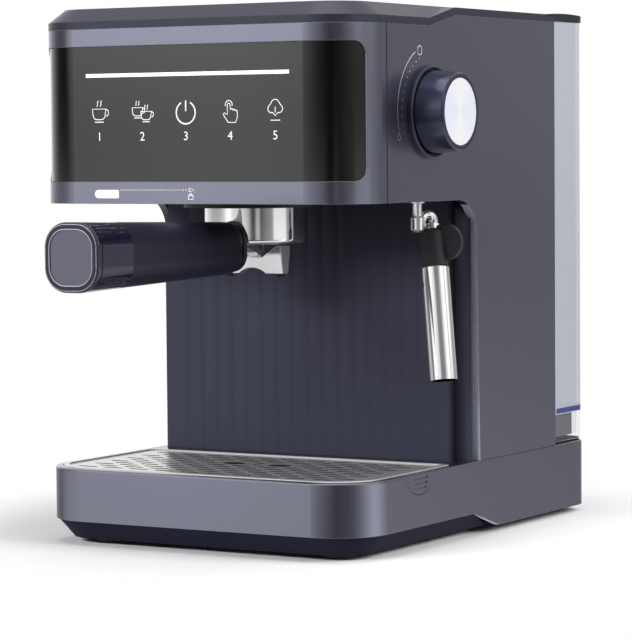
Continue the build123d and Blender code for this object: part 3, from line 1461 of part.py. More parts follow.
# Frothing sleeve: pushed over the nozzle, open below, with an air hole near the top
sleeve_start = GRIP_L + RUN
with BuildPart() as froth_sleeve:
    with BuildSketch(wand_section):
        with BuildLine():
            Polyline(
                (NOZZLE_R + RUN, sleeve_start),
                (SLEEVE_R - SLEEVE_WALL / 2, sleeve_start),
                (SLEEVE_R, sleeve_start + SLEEVE_WALL / 2),
                (SLEEVE_R, wand_length),
                (SLEEVE_R - SLEEVE_WALL, wand_length),
                (SLEEVE_R - SLEEVE_WALL, sleeve_start + SLEEVE_NECK_L),
                (NOZZLE_R + RUN, sleeve_start + SLEEVE_NECK_L),
                close=True,
            )
        make_face()
    revolve(axis=wand_axis)
    vent = across_wand(sleeve_start + SLEEVE_VENT_L)
    with BuildSketch(Plane(origin=vent.origin, x_dir=wand_dir, z_dir=wand_side)):
        Circle(SLEEVE_VENT_R)
    extrude(amount=2 * SLEEVE_R, mode=Mode.SUBTRACT)
froth_sleeve.part.label = "froth_sleeve"
export_step(froth_sleeve.part, "parts/froth_sleeve.step")

# Rubber pad under the tank
with BuildPart() as tank_pad:
    with BuildSketch(level(BASE_TOP)):
        add(tank_plan(PAD_INSET))
        with Locations((OUTLET_X, outlet_y)):
            Circle(SOCKET_R, mode=Mode.SUBTRACT)
    extrude(amount=PAD_T)
tank_pad.part.label = "tank_pad"
export_step(tank_pad.part, "parts/tank_pad.step")

# Water tank: an open box with rounded rear corners and two ears for the lid
with BuildPart() as water_tank:
    with BuildSketch(level(tank_z)):
        add(tank_plan(0))
    extrude(amount=TANK_TOP - tank_z)
    with BuildSketch(level(tank_floor)):
        add(tank_plan(TANK_WALL))
    extrude(amount=TANK_TOP - tank_floor, mode=Mode.SUBTRACT)
    with BuildSketch(level(tank_z, OUTLET_X, outlet_y)):
        Circle(VALVE_NECK_R + SLIP)
    extrude(amount=TANK_FLOOR_T, mode=Mode.SUBTRACT)
    for side in (1, -1):
        with BuildSketch(facing_right(side * LID_EAR_X, lid_pivot_y)):
            with Locations((0, lid_pivot_z)):
                Circle(LID_PIVOT_R)
            with Locations((-LID_PIVOT_R, TANK_TOP - TANK_WALL)):
                Rectangle(
                    LID_PIVOT_INSET + LID_PIVOT_R,
                    lid_pivot_z - TANK_TOP + TANK_WALL,
                    align=(Align.MIN, Align.MIN),
                )
            with Locations((0, lid_pivot_z)):
                Circle(LID_PIN_R + SLIP, mode=Mode.SUBTRACT)
        extrude(amount=LID_EAR_W / 2, both=True)
water_tank.part.label = "water_tank"
export_step(water_tank.part, "parts/water_tank.step")

# Valve carrier on the tank floor
with BuildPart() as tank_insert:
    with BuildSketch(level(tank_floor)):
        add(
            plan(
                TANK_HALF_W - TANK_WALL - CLEAR,
                tank_front + TANK_WALL + CLEAR,
                tank_back - INSERT_BACK_GAP,
                TANK_FRONT_R - TANK_WALL - CLEAR,
                INSERT_R,
            )
        )
        with Locations((OUTLET_X, outlet_y)):
            Circle(VALVE_BODY_R + CLEAR, mode=Mode.SUBTRACT)
    extrude(amount=INSERT_H)
tank_insert.part.label = "tank_insert"
export_step(tank_insert.part, "parts/tank_insert.step")

# Tank valve: a seat in the floor and a plunger that the socket holds up
seat_top = tank_floor + VALVE_BODY_H
disc_z = seat_top + VALVE_TRAVEL + RUN
with BuildPart() as tank_valve_body:
    with BuildSketch(around(OUTLET_X, outlet_y)):
        with BuildLine():
            Polyline(
                (VALVE_BORE_R, tank_z),
                (VALVE_NECK_R, tank_z),
                (VALVE_NECK_R, tank_floor),
                (VALVE_BODY_R, tank_floor),
                (VALVE_BODY_R, seat_top),
                (VALVE_BORE_R, seat_top),
                close=True,
            )
        make_face()
    revolve(axis=upright_axis(OUTLET_X, outlet_y))
tank_valve_body.part.label = "tank_valve_body"
export_step(tank_valve_body.part, "parts/tank_valve_body.step")

with BuildPart() as tank_valve:
    with BuildSketch(level(disc_z, OUTLET_X, outlet_y)):
        Circle(DISC_R)
    extrude(amount=DISC_T)
    with BuildSketch(level(disc_z, OUTLET_X, outlet_y)):
        Rectangle(2 * VALVE_BORE_R - 2 * CLEAR, STEM_R)
        Rectangle(STEM_R, 2 * VALVE_BORE_R - 2 * CLEAR)
    extrude(amount=BASE_TOP + SPIGOT_H + RUN - disc_z)
tank_valve.part.label = "tank_valve"
export_step(tank_valve.part, "parts/tank_valve.step")

# Socket in the deck that the tank valve drops onto, with its seal
with BuildPart() as tank_socket:
    with BuildSketch(around(OUTLET_X, outlet_y)):
        with BuildLine():
            Polyline(
                (HOSE_BORE_R, deck_z - TAIL_L),
                (TAIL_R, deck_z - TAIL_L),
                (TAIL_R, deck_z),
                (SOCKET_R, deck_z),
                (SOCKET_R, BASE_TOP),
                (SPIGOT_R, BASE_TOP),
                (SPIGOT_R, BASE_TOP + SPIGOT_H),
                (HOSE_BORE_R, BASE_TOP + SPIGOT_H),
                close=True,
            )
        make_face()
    revolve(axis=upright_axis(OUTLET_X, outlet_y))
tank_socket.part.label = "tank_socket"
export_step(tank_socket.part, "parts/tank_socket.step")

with BuildPart() as socket_seal:
    with BuildSketch(level(BASE_TOP, OUTLET_X, outlet_y)):
        Circle(SPIGOT_R + SEAL_W)
        Circle(SPIGOT_R + SLIP, mode=Mode.SUBTRACT)
    extrude(amount=PAD_T)
socket_seal.part.label = "socket_seal"
export_step(socket_seal.part, "parts/socket_seal.step")

# Tank lid: a shallow arched plate with a finger flap in front and a hinge barrel behind
with BuildPart() as tank_lid:
    flap_bottom = scoop_z + RUN
    lid_back_z = lid_pivot_z + LID_PIVOT_R
    flap_front = LID_FRONT - RUN
    with BuildSketch(facing_right(0)):
        with BuildLine():
            Polyline(
                (flap_front, flap_bottom + LID_FLAP_T / 3),
                (flap_front, flap_bottom),
                (tank_front, flap_bottom),
                (tank_front, lid_bottom),
                (lid_pivot_y, lid_bottom),
            )
            ThreePointArc(
                (lid_pivot_y, lid_bottom),
                (lid_pivot_y + LID_PIVOT_R, lid_pivot_z),
                (lid_pivot_y, lid_back_z),
            )
            ThreePointArc(
                (lid_pivot_y, lid_back_z),
                ((LID_FRONT + lid_pivot_y) / 2, LID_CROWN),
                (flap_front, flap_bottom + LID_FLAP_T / 3),
            )
        make_face()
    extrude(amount=TANK_HALF_W, both=True)
    with BuildSketch(level(TANK_TOP)):
        add(plan(TANK_HALF_W, LID_FRONT, BASE_D, TANK_FRONT_R, TANK_BACK_R))
    extrude(amount=2 * (LID_CROWN - TANK_TOP), mode=Mode.INTERSECT)
    with BuildSketch(level(lid_bottom)):
        with GridLocations(2 * LID_EAR_X, 0, 2, 1):
            with Locations((0, lid_pivot_y - LID_PIVOT_R - 2 * CLEAR)):
                Rectangle(
                    LID_EAR_W + 2 * CLEAR, 3 * LID_PIVOT_R, align=(Align.CENTER, Align.MIN)
                )
    extrude(amount=LID_CROWN - lid_bottom, mode=Mode.SUBTRACT)
    for side in (1, -1):
        with BuildSketch(facing_right(side * LID_EAR_X, lid_pivot_y, lid_pivot_z)):
            Circle(LID_PIN_R + SLIP)
        extrude(amount=LID_PIN_L / 2 + SLIP, both=True, mode=Mode.SUBTRACT)
tank_lid.part.label = "tank_lid"
export_step(tank_lid.part, "parts/tank_lid.step")

with BuildPart() as lid_pins:
    for side in (1, -1):
        with BuildSketch(facing_right(side * LID_EAR_X, lid_pivot_y, lid_pivot_z)):
            Circle(LID_PIN_R)
        extrude(amount=LID_PIN_L / 2, both=True)
lid_pins.part.label = "lid_pins"
export_step(lid_pins.part, "parts/lid_pins.step")

# Vibratory pump on two rubber mounts
pump_axis = Axis(at(0, PUMP_Y, PUMP_Z), (1, 0, 0))
coil_left = pump_coil_x - PUMP_COIL_W / 2
coil_right = pump_coil_x + PUMP_COIL_W / 2
brass_right = pump_outlet_x - SPIGOT_L
with BuildPart() as pump:
    with BuildSketch(facing_front(PUMP_Y, z=PUMP_Z)):
        with BuildLine():
            Polyline(
                (pump_inlet_x, 0),
                (pump_inlet_x, TAIL_R),
                (pump_inlet_x + SPIGOT_L, TAIL_R),
                (pump_inlet_x + SPIGOT_L, PUMP_INLET_R),
                (coil_left, PUMP_INLET_R),
                (coil_left, PUMP_CORE_R),
                (brass_right - PUMP_BRASS_L, PUMP_CORE_R),
                (brass_right - PUMP_BRASS_L, PUMP_BRASS_R),
                (brass_right, PUMP_BRASS_R),
                (brass_right, TAIL_R),
                (pump_outlet_x, TAIL_R),
                (pump_outlet_x, 0),
                close=True,
            )
        make_face()
    revolve(axis=pump_axis)
    with BuildSketch(facing_right(coil_left, PUMP_Y, PUMP_Z)):
        RectangleRounded(PUMP_COIL_H, PUMP_COIL_H, TAIL_R)
    extrude(amount=PUMP_COIL_W)
pump.part.label = "pump"
export_step(pump.part, "parts/pump.step")

with BuildPart() as pump_mounts:
    with BuildSketch(level(BASE_TOP, pump_coil_x, PUMP_Y)):
        with GridLocations(MOUNT_SPAN, 0, 2, 1):
            Rectangle(MOUNT_W, MOUNT_D)
    extrude(amount=coil_bottom - BASE_TOP)
pump_mounts.part.label = "pump_mounts"
export_step(pump_mounts.part, "parts/pump_mounts.step")

# Hoses: tank to pump, pump to thermoblock, thermoblock to steam valve
inlet_hose = hollow_tube(
    (
        at(OUTLET_X, outlet_y, deck_z - TAIL_L),
        at(OUTLET_X, outlet_y, HOSE_LOW_Z),
        at(inlet_rise_x, INLET_TURN_Y, HOSE_LOW_Z),
        at(inlet_rise_x, PUMP_Y, HOSE_LOW_Z),
        at(inlet_rise_x, PUMP_Y, PUMP_Z),
        at(pump_inlet_x, PUMP_Y, PUMP_Z),
    ),
    INLET_BEND_R,
    HOSE_R,
    HOSE_BORE_R,
)
inlet_hose.part.label = "inlet_hose"
export_step(inlet_hose.part, "parts/inlet_hose.step")

block_port_z = collar_top + BLOCK_H / 2
block_port_y = BREW_Y + BLOCK_D / 2 + PORT_L
pressure_hose = hollow_tube(
    (
        at(pump_outlet_x, PUMP_Y, PUMP_Z),
        at(pressure_rise_x, PUMP_Y, PUMP_Z),
        at(pressure_rise_x, PUMP_Y, PRESSURE_TOP_Z),
        at(BLOCK_INLET_X, (PUMP_Y + block_port_y) / 2, block_port_z),
        at(BLOCK_INLET_X, block_port_y, block_port_z),
    ),
    PRESSURE_BEND_R,
    HOSE_R,
    HOSE_BORE_R,
)
pressure_hose.part.label = "pressure_hose"
export_step(pressure_hose.part, "parts/pressure_hose.step")

steam_hose = hollow_tube(
    (
        at(STEAM_PORT_X, BREW_Y, block_top + BLOCK_CAP_H + PORT_L),
        at(STEAM_PORT_X, BREW_Y, STEAM_LOOP_Z),
        at(STEAM_LOOP_X, KNOB_Y, STEAM_LOOP_Z),
        at(STEAM_LOOP_X, KNOB_Y, KNOB_Z),
        at(VALVE_INNER_X - PORT_L / 2, KNOB_Y, KNOB_Z),
    ),
    PRESSURE_BEND_R,
    HOSE_R,
    HOSE_BORE_R,
)
steam_hose.part.label = "steam_hose"
export_step(steam_hose.part, "parts/steam_hose.step")

# Control board on standoffs at the rear wall, with a row of relays
with BuildPart() as control_board:
    with BuildSketch(facing_front(board_y, BOARD_X, BOARD_Z)):
        Rectangle(BOARD_W, BOARD_H)
    extrude(amount=BOARD_T)
    with BuildSketch(facing_front(board_y - BOARD_T, BOARD_X, BOARD_Z)):
        with GridLocations(0, RELAY_PITCH, 1, 3):
            Rectangle(RELAY_W, RELAY_H)
    extrude(amount=RELAY_T)
control_board.part.label = "control_board"
export_step(control_board.part, "parts/control_board.step")

with BuildPart() as board_standoffs:
    with BuildSketch(facing_front(board_y, BOARD_X, BOARD_Z)):
        with GridLocations(BOARD_W - 2 * STANDOFF_INSET, BOARD_H - 2 * STANDOFF_INSET, 2, 2):
            Circle(STANDOFF_R)
    extrude(amount=-STANDOFF_L)
board_standoffs.part.label = "board_standoffs"
export_step(board_standoffs.part, "parts/board_standoffs.step")

# Cord gland in the back of the base
with BuildPart() as cord_gland:
    with BuildSketch(facing_front(BASE_D, GLAND_X, GLAND_Z)):
        Circle(GLAND_R)
        Circle(GLAND_BORE_R, mode=Mode.SUBTRACT)
    extrude(amount=GLAND_L)
    with BuildSketch(facing_front(BASE_D - BASE_WALL, GLAND_X, GLAND_Z)):
        Circle(GLAND_FLANGE_R)
        Circle(GLAND_BORE_R, mode=Mode.SUBTRACT)
    extrude(amount=GLAND_FLANGE_T)
cord_gland.part.label = "cord_gland"
export_step(cord_gland.part, "parts/cord_gland.step")
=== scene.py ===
import math

import bpy
from mathutils import Matrix, Vector


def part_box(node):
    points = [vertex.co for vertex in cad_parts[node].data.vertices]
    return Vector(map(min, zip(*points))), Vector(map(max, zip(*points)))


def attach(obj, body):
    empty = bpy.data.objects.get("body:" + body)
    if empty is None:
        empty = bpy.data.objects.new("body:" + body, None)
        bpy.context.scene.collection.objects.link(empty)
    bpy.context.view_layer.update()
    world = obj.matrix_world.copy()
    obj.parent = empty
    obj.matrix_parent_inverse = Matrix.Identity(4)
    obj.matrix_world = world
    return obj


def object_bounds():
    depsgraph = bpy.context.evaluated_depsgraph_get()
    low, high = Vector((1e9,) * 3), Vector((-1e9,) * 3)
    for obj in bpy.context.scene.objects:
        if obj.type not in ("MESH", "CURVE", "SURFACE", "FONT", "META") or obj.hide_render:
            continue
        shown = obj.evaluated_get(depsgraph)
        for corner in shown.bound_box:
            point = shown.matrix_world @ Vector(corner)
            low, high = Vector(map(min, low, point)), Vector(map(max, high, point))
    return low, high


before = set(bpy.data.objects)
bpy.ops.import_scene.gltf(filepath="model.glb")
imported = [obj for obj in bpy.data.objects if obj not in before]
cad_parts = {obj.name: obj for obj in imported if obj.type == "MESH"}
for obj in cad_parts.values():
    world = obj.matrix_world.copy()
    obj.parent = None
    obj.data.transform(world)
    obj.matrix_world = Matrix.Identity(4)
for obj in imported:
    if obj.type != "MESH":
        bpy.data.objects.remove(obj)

bl_info = {
    "name": "Espresso Machine",
    "version": (1, 0, 0),
    "blender": (4, 5, 0),
    "location": "3D View > Sidebar > Espresso",
    "description": (
        "Finishes, printed marks and studio for an espresso machine built on its CAD frame"
    ),
    "category": "Object",
}

CAD_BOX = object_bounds()
MM = 0.001
WHITE = (1.0, 1.0, 1.0, 1.0)

# Corners of the CAD pieces that finishes and prints are placed by
GLASS_LOW, GLASS_HIGH = map(Vector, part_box("touch_glass"))
FASCIA_LOW, FASCIA_HIGH = map(Vector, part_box("fascia"))
PANEL_LOW, PANEL_HIGH = map(Vector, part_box("side_panel_right"))
KNOB_LOW, KNOB_HIGH = map(Vector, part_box("steam_knob"))
TANK_LOW, TANK_HIGH = map(Vector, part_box("water_tank"))
TRAY_LOW, TRAY_HIGH = map(Vector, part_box("drip_tray"))
BASE_LOW, BASE_HIGH = map(Vector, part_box("base_shell"))
GRATE_LOW, GRATE_HIGH = map(Vector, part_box("drip_grate"))
BAND_LOW, BAND_HIGH = map(Vector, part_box("handle_band"))
SLEEVE_LOW, SLEEVE_HIGH = map(Vector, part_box("froth_sleeve"))
LEFT_LOW = Vector(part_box("side_panel_left")[0])
SPLASH_HIGH = Vector(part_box("back_splash")[1])
PAD_HIGH = Vector(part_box("tank_pad")[1])
INSERT_HIGH = Vector(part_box("tank_insert")[1])
MID_X = (GLASS_LOW.x + GLASS_HIGH.x) / 2
KNOB_Y = (KNOB_LOW.y + KNOB_HIGH.y) / 2
KNOB_Z = (KNOB_LOW.z + KNOB_HIGH.z) / 2

# Zones of the finishes
TRAY_SKIRT = 5.0 * MM
SHEET_DROP = 0.8 * MM
HOLE_MARGIN = 0.05 * MM
# Painted shade on the splash: how far its darkest line lies in from the splash's right end, and how
# far the shade spreads to each side
SPLASH_SHADE_INSET = 7.0 * MM
SPLASH_SHADE_W = 5.5 * MM
EDGE_FACING = -0.5
BAND_RIM_W = 1.6 * MM
# The froth sleeve's axis and bore, for the painted shade inside it
SLEEVE_WAY = Vector((0.1488, -0.1335, -0.9798))
SLEEVE_BORE = 7.0 * MM
SCALE_FADE = (4.0 * MM, 34.0 * MM)

# Handle end: insets of the painted highlight lines on the rim and its corner as a share of the
# width
RIM_INSET = 1.3
CAP_RIM_W = 3.6
TIP_CORNER = 0.39
RIM_HIGHLIGHT_W = 0.8 * MM

# Prints and painted seam shadows
PRINT_T = 0.05 * MM
STROKE_FLATTEN = 0.3
NUMBER_FILL = 1.35
SEAM_SHADOW_HALF_W = 0.5
TANK_CORNER = 12.0 * MM
LEVEL_SKIN = 0.1 * MM
LEVEL_START = 4.0 * MM

# Finishes that several pieces share
SLATE_ROUGH, SLATE_METAL = 0.24, 0.95
COVER_ROUGH, COVER_METAL = 0.38, 0.6
SHEET_METAL = 0.7
GLOSS_ROUGH = 0.1
GRAIN_DEPTH = 0.02 * MM
EDGE_RADIUS = 0.5 * MM

# Sockets of a Mix node that blends colours
MIX_FACTOR, MIX_FIRST, MIX_SECOND, MIX_RESULT = 0, 6, 7, 2

# Lamps: name, azimuth and elevation in degrees, then distance, width and height in metres
SOFT_BOXES = (
    ("key", -15.0, 19.0, 1.5, 1.0, 0.34),
    ("side", 95.0, 25.0, 1.4, 0.8, 0.8),
    ("back", 170.0, 25.0, 1.5, 0.8, 0.8),
    ("top", 10.0, 85.0, 1.6, 1.2, 1.2),
)
FLOOR_REACH = 2.0
FLOOR_FADE = (0.165, 0.27)

# The ring of cards: rows of a height and levels, lowest first; each level is the degrees round from
# the front to the right and a brightness
RING_R, RING_LOW, RING_HIGH, RING_SIDES = 2.2, -1.0, 1.3, 72
CARD_PEAK = 2.5
CARD_ROWS = (
    (
        -0.2,
        (
            (-180, 0.5), (-135, 0.57), (-92, 0.24), (-68, 0.85), (-36, 0.9), (-30, 1.15),
            (-21, 0.42), (4, 0.14), (29, 0.03), (53, 0.12), (79, 0.5), (109, 1.65), (126, 1.1),
            (144, 0.58), (155, 0.34), (180, 0.4),
        ),
    ),
    (
        0.12,
        (
            (-180, 0.5), (-149, 0.8), (-118, 1.15), (-80, 0.6), (-60, 0.6), (-45, 0.85),
            (-30, 1.7), (-18, 1.1), (6, 1.0), (16, 0.7), (25, 0.1), (31, 0.1), (36, 0.6),
            (41, 0.6), (45, 0.12), (58, 0.26), (72, 0.4), (77, 1.2), (106, 1.2), (111, 0.4),
            (116, 0.4), (120, 0.6), (132, 0.34), (150, 0.26), (180, 0.45),
        ),
    ),
    (
        0.24,
        (
            (-180, 0.6), (-130, 1.5), (-95, 0.62), (-77, 0.08), (-50, 0.04), (-37, 1.05),
            (-30, 1.5), (-24, 0.55), (4, 0.08), (30, 0.0), (63, 0.26), (130, 0.3), (150, 0.33),
            (180, 0.6),
        ),
    ),
    (
        0.36,
        (
            (-180, 0.6), (-130, 1.5), (-95, 0.62), (-77, 0.08), (-55, 0.0), (-36, 1.7),
            (-30, 2.2), (-24, 0.9), (4, 0.1), (30, 0.0), (93, 0.3), (150, 0.36), (180, 0.6),
        ),
    ),
    (
        0.6,
        (
            (-180, 0.6), (-130, 1.5), (-95, 0.8), (-60, 0.2), (-36, 1.7), (-30, 2.0),
            (-10, 1.2), (8, 0.9), (18, 0.2), (40, 0.12), (52, 0.3), (70, 1.2), (88, 1.9),
            (98, 0.5), (112, 1.8), (124, 1.3), (134, 0.4), (150, 0.3), (180, 0.6),
        ),
    ),
)


def tone(red, green, blue):
    """A display colour of 0 to 255 as the linear colour that Blender's sockets hold."""
    linear = []
    for channel in (red, green, blue):
        share = channel / 255
        linear.append(share / 12.92 if share <= 0.04045 else ((share + 0.055) / 1.055) ** 2.4)
    return tuple(linear)


def colour_prop(name, description, red, green, blue):
    """A colour property whose default is given as a display colour."""
    return bpy.props.FloatVectorProperty(
        name=name,
        description=description,
        subtype="COLOR",
        size=3,
        min=0.0,
        max=1.0,
        default=tone(red, green, blue),
    )


def length_prop(name, description, millimetres):
    """A length property whose default is given in millimetres."""
    return bpy.props.FloatProperty(
        name=name,
        description=description,
        default=millimetres * MM,
        unit="LENGTH",
        precision=4,
    )


def angle_prop(name, description, degrees):
    """An angle property whose default is given in degrees."""
    return bpy.props.FloatProperty(
        name=name, description=description, default=math.radians(degrees), subtype="ANGLE"
    )


def power_prop(name, description, watts):
    """The power of a lamp."""
    return bpy.props.FloatProperty(
        name=name, description=description, default=watts, unit="POWER"
    )


class EspressoFinish(bpy.types.PropertyGroup):
    """Colours of the machine's finishes."""

    slate: colour_prop("Slate", "Satin metallic paint of the shell", 126, 127, 142)
    cover: colour_prop("Cover", "Paint of the top cover", 60, 61, 73)
    lid: colour_prop("Lid", "Paint of the tank lid", 42, 44, 50)
    splash: colour_prop("Splash", "Ribbed back splash", 65, 66, 81)
    # Colour of painted shade: the strip beside the splash's right lip and the left side panel's
    # front edge
    painted_shade: colour_prop(
        "Flute", "Dark flute of the splash and dark edge of the left panel", 14, 13, 25
    )
    # Painted light: a pale, plain colour on the right side panel's front edge that stands in for
    # the lit edge
    painted_edge_light: colour_prop("Panel Edge", "Bare front edge of the right side panel", 205, 205, 218)
    black: colour_prop("Black", "Grained black plastic", 26, 26, 32)
    plinth: colour_prop("Plinth", "Dark foot of the base", 34, 35, 48)
    panel: colour_prop("Panel", "Touch glass", 7, 6, 8)
    print_white: colour_prop("Print", "Printed marks", 225, 225, 228)
    print_dim: colour_prop("Dim print", "Lower end of the knob scale", 104, 105, 112)
    steel: colour_prop("Steel", "Brushed steel", 205, 203, 202)
    chrome: colour_prop("Chrome", "Plated metal", 226, 226, 228)
    knob: colour_prop("Knob", "Side of the steam knob", 68, 69, 90)
    bezel: colour_prop("Bezel", "Ring behind the steam knob", 58, 59, 74)
    cap: colour_prop("Cap", "Spun metal cap of the knob", 250, 250, 253)
    # Painted sheen: the cooler sectors of the cap stand in for the reflections of the spun disc
    cap_painted_sheen: colour_prop("Cap sheen", "Cooler sectors of the spun cap", 238, 240, 252)
    # Painted highlight: colour of the thin bright lines round the handle's end
    rim_highlight: colour_prop("Rim line", "Bright edges round the handle's end", 176, 178, 194)
    handle: colour_prop("Handle", "Satin grip of the portafilter", 32, 31, 45)
    band: colour_prop("Band", "Glossy band of the portafilter", 32, 31, 45)
    end_cap: colour_prop("End cap", "End of the portafilter handle", 98, 98, 111)
    tank: colour_prop("Tank", "Clear plastic of the water tank", 214, 216, 226)
    tank_edge: colour_prop("Tank edge", "Clear plastic seen edge-on", 150, 160, 178)
    insert: colour_prop("Insert", "Valve carrier in the tank", 24, 27, 34)
    level_line: colour_prop("Level line", "Lowest water level on the tank", 52, 62, 118)
    rubber: colour_prop("Rubber", "Feet, seals and pads", 20, 20, 21)
    casting: colour_prop("Casting", "Thermoblock and pump", 150, 150, 152)
    brass: colour_prop("Brass", "Valve body and spindle", 201, 164, 92)
    board: colour_prop("Board", "Circuit boards", 28, 84, 48)
    hose: colour_prop("Hose", "Silicone hoses", 212, 212, 206)


class EspressoMarks(bpy.types.PropertyGroup):
    """Places and line widths of the printed marks."""

    line: length_prop("Line", "Width of the thin printed lines", 0.55)
    bold_line: length_prop("Bold line", "Width of the bold printed lines", 0.9)
    pitch: length_prop("Pitch", "Distance between the panel's symbols", 28.3)
    symbol_rise: length_prop("Symbol rise", "Symbols above the glass's lower edge", 37.2)
    number_rise: length_prop("Number rise", "Numbers above the glass's lower edge", 24.2)
    number_size: length_prop("Number size", "Height of the numbers", 5.0)
    lock_rise: length_prop("Lock rise", "Lock track above the fascia's lower edge", 7.6)
    scale_radius: length_prop("Scale radius", "Arc round the steam knob", 36.0)
    dot_radius: length_prop("Dot radius", "Dots inside the arc", 31.0)
    level_rise: length_prop("Level rise", "Level line above the tank's foot", 18.4)
    level_height: length_prop("Level height", "Width of the level line", 3.0)


class EspressoStudio(bpy.types.PropertyGroup):
    """Camera and light."""

    camera_place: bpy.props.FloatVectorProperty(
        name="Camera place",
        description="Where the camera stands",
        subtype="TRANSLATION",
        unit="LENGTH",
        default=(0.869705, -1.439733, 0.223324),
    )
    azimuth: angle_prop("Azimuth", "Camera round from the front to the right", 30.59)
    elevation: angle_prop("Elevation", "Camera above the horizon", 3.40)
    roll: angle_prop("Roll", "Camera tilt", -0.464)
    lens: bpy.props.FloatProperty(
        name="Lens",
        description="Focal length on a 36 mm high sensor",
        default=167.34,
        unit="CAMERA",
    )
    key_power: power_prop("Key", "Soft box at the front left", 19.0)
    side_power: power_prop("Side", "Soft box at the right", 16.0)
    top_power: power_prop("Top", "Overhead soft box", 8.0)
    back_power: power_prop("Back", "Soft box behind the tank", 7.0)
    room_light: bpy.props.FloatProperty(
        name="Room", description="Even light from all sides", default=0.15, min=0.0
    )


def add_node(tree, kind, outlet, entries=None, **settings):
    """Adds a shader node and returns one of its outputs. Entries give each input, by its name or
    place, a plain value or the output that feeds it."""
    node = tree.nodes.new(f"ShaderNode{kind}")
    for name, value in settings.items():
        setattr(node, name, value)
    for label, entry in (entries or {}).items():
        if isinstance(entry, bpy.types.NodeSocket):
            tree.links.new(entry, node.inputs[label])
        else:
            node.inputs[label].default_value = entry
    return node.outputs[outlet]


def calculate(tree, operation, *entries):
    """The result of a Math node."""
    return add_node(tree, "Math", "Value", dict(enumerate(entries)), operation=operation)


def calculate_vector(tree, operation, *entries, outlet="Vector"):
    """The result of a Vector Math node."""
    return add_node(tree, "VectorMath", outlet, dict(enumerate(entries)), operation=operation)


def remap(tree, value, source=(0.0, 1.0), target=(0.0, 1.0), interpolation="LINEAR"):
    """A value taken from one range to another and held at its ends."""
    entries = {"Value": value, "From Min": source[0], "From Max": source[1]}
    entries.update({"To Min": target[0], "To Max": target[1]})
    return add_node(tree, "MapRange", "Result", entries, interpolation_type=interpolation)


def place_on(tree, kind="Object"):
    """Where a point lies on its piece or, as Normal, which way it faces."""
    return add_node(tree, "TexCoord", kind)


def along(tree, axis, vector):
    """One axis of a vector."""
    return add_node(tree, "SeparateXYZ", axis, {"Vector": vector})


def mix_colours(tree, factor, first, second):
    """A colour between two others."""
    entries = {MIX_FACTOR: factor, MIX_FIRST: first, MIX_SECOND: second}
    return add_node(tree, "Mix", MIX_RESULT, entries, data_type="RGBA")


def surface_group(name, inputs, draw):
    """A shader node group, built once, that puts out a height and a roughness. The draw function
    gives the height and the pattern that spreads the roughness."""
    if name not in bpy.data.node_groups:
        group = bpy.data.node_groups.new(name, "ShaderNodeTree")
        for label, default in inputs:
            socket = group.interface.new_socket(
                label, in_out="INPUT", socket_type="NodeSocketFloat"
            )
            socket.default_value = default
        for label in ("Height", "Roughness"):
            group.interface.new_socket(label, in_out="OUTPUT", socket_type="NodeSocketFloat")
        entry = group.nodes.new("NodeGroupInput").outputs
        leave = group.nodes.new("NodeGroupOutput").inputs
        height, pattern = draw(group, entry)
        centred = calculate(group, "SUBTRACT", pattern, 0.5)
        roughness = calculate(
            group, "MULTIPLY_ADD", centred, entry["Roughness Spread"], entry["Roughness"]
        )
        group.links.new(height, leave["Height"])
        group.links.new(roughness, leave["Roughness"])
    return bpy.data.node_groups[name]


def fine_grain():
    """Group: a moulded or sprayed surface, as a height and as a small change of roughness."""

    def draw(tree, entry):
        place = place_on(tree)
        specks = {"Vector": place, "Scale": entry["Grain Scale"], "Detail": 3.0}
        clouds = {"Vector": place, "Scale": 14.0}
        return [add_node(tree, "TexNoise", "Fac", noise) for noise in (specks, clouds)]

    inputs = (("Grain Scale", 900.0), ("Roughness", 0.4), ("Roughness Spread", 0.06))
    return surface_group("FineGrain", inputs, draw)


def brush_lines():
    """Group: fine parallel scratches, drawn out along the axis with the small scale."""

    def draw(tree, entry):
        scales = {axis: entry[f"Scale {axis}"] for axis in "XYZ"}
        stretch = add_node(tree, "CombineXYZ", "Vector", scales)
        drawn = calculate_vector(tree, "MULTIPLY", place_on(tree), stretch)
        scratches = {"Vector": drawn, "Scale": 1.0, "Detail": 4.0}
        return [add_node(tree, "TexNoise", "Fac", scratches)] * 2

    inputs = (("Scale X", 30.0), ("Scale Y", 30.0), ("Scale Z", 1500.0))
    inputs += (("Roughness", 0.3), ("Roughness Spread", 0.2))
    return surface_group("BrushLines", inputs, draw)


def socket_name(label):
    """A socket's name from a keyword."""
    return label.replace("_", " ").title().replace("Ior", "IOR")


def finish(name, colour, **sockets):
    """A material with one Principled shader; sockets are given by their names with underscores."""
    material = bpy.data.materials.new(name)
    material.use_nodes = True
    shader = material.node_tree.nodes["Principled BSDF"]
    shader.inputs["Base Color"].default_value = (*colour, 1.0)
    for label, value in sockets.items():
        shader.inputs[socket_name(label)].default_value = value
    return material


def drive(material, label, output):
    """Links an output to a socket of the material's shader."""
    tree = material.node_tree
    tree.links.new(output, tree.nodes["Principled BSDF"].inputs[label])


def soften_edges(material, radius):
    """Rounds the light on the material's hard edges; returns the rounded normal."""
    rounded = add_node(material.node_tree, "Bevel", "Normal", {"Radius": radius}, samples=4)
    drive(material, "Normal", rounded)
    return rounded


def add_texture(material, group, depth, edge=None, **values):
    """Places a group in a material: its roughness and, as a bump of the given depth, its height."""
    texture = material.node_tree.nodes.new("ShaderNodeGroup")
    texture.node_tree = group
    for label, value in values.items():
        texture.inputs[socket_name(label)].default_value = value
    drive(material, "Roughness", texture.outputs["Roughness"])
    relief = {"Distance": depth, "Height": texture.outputs["Height"]}
    if edge is not None:
        relief["Normal"] = edge
    drive(material, "Normal", add_node(material.node_tree, "Bump", "Normal", relief))


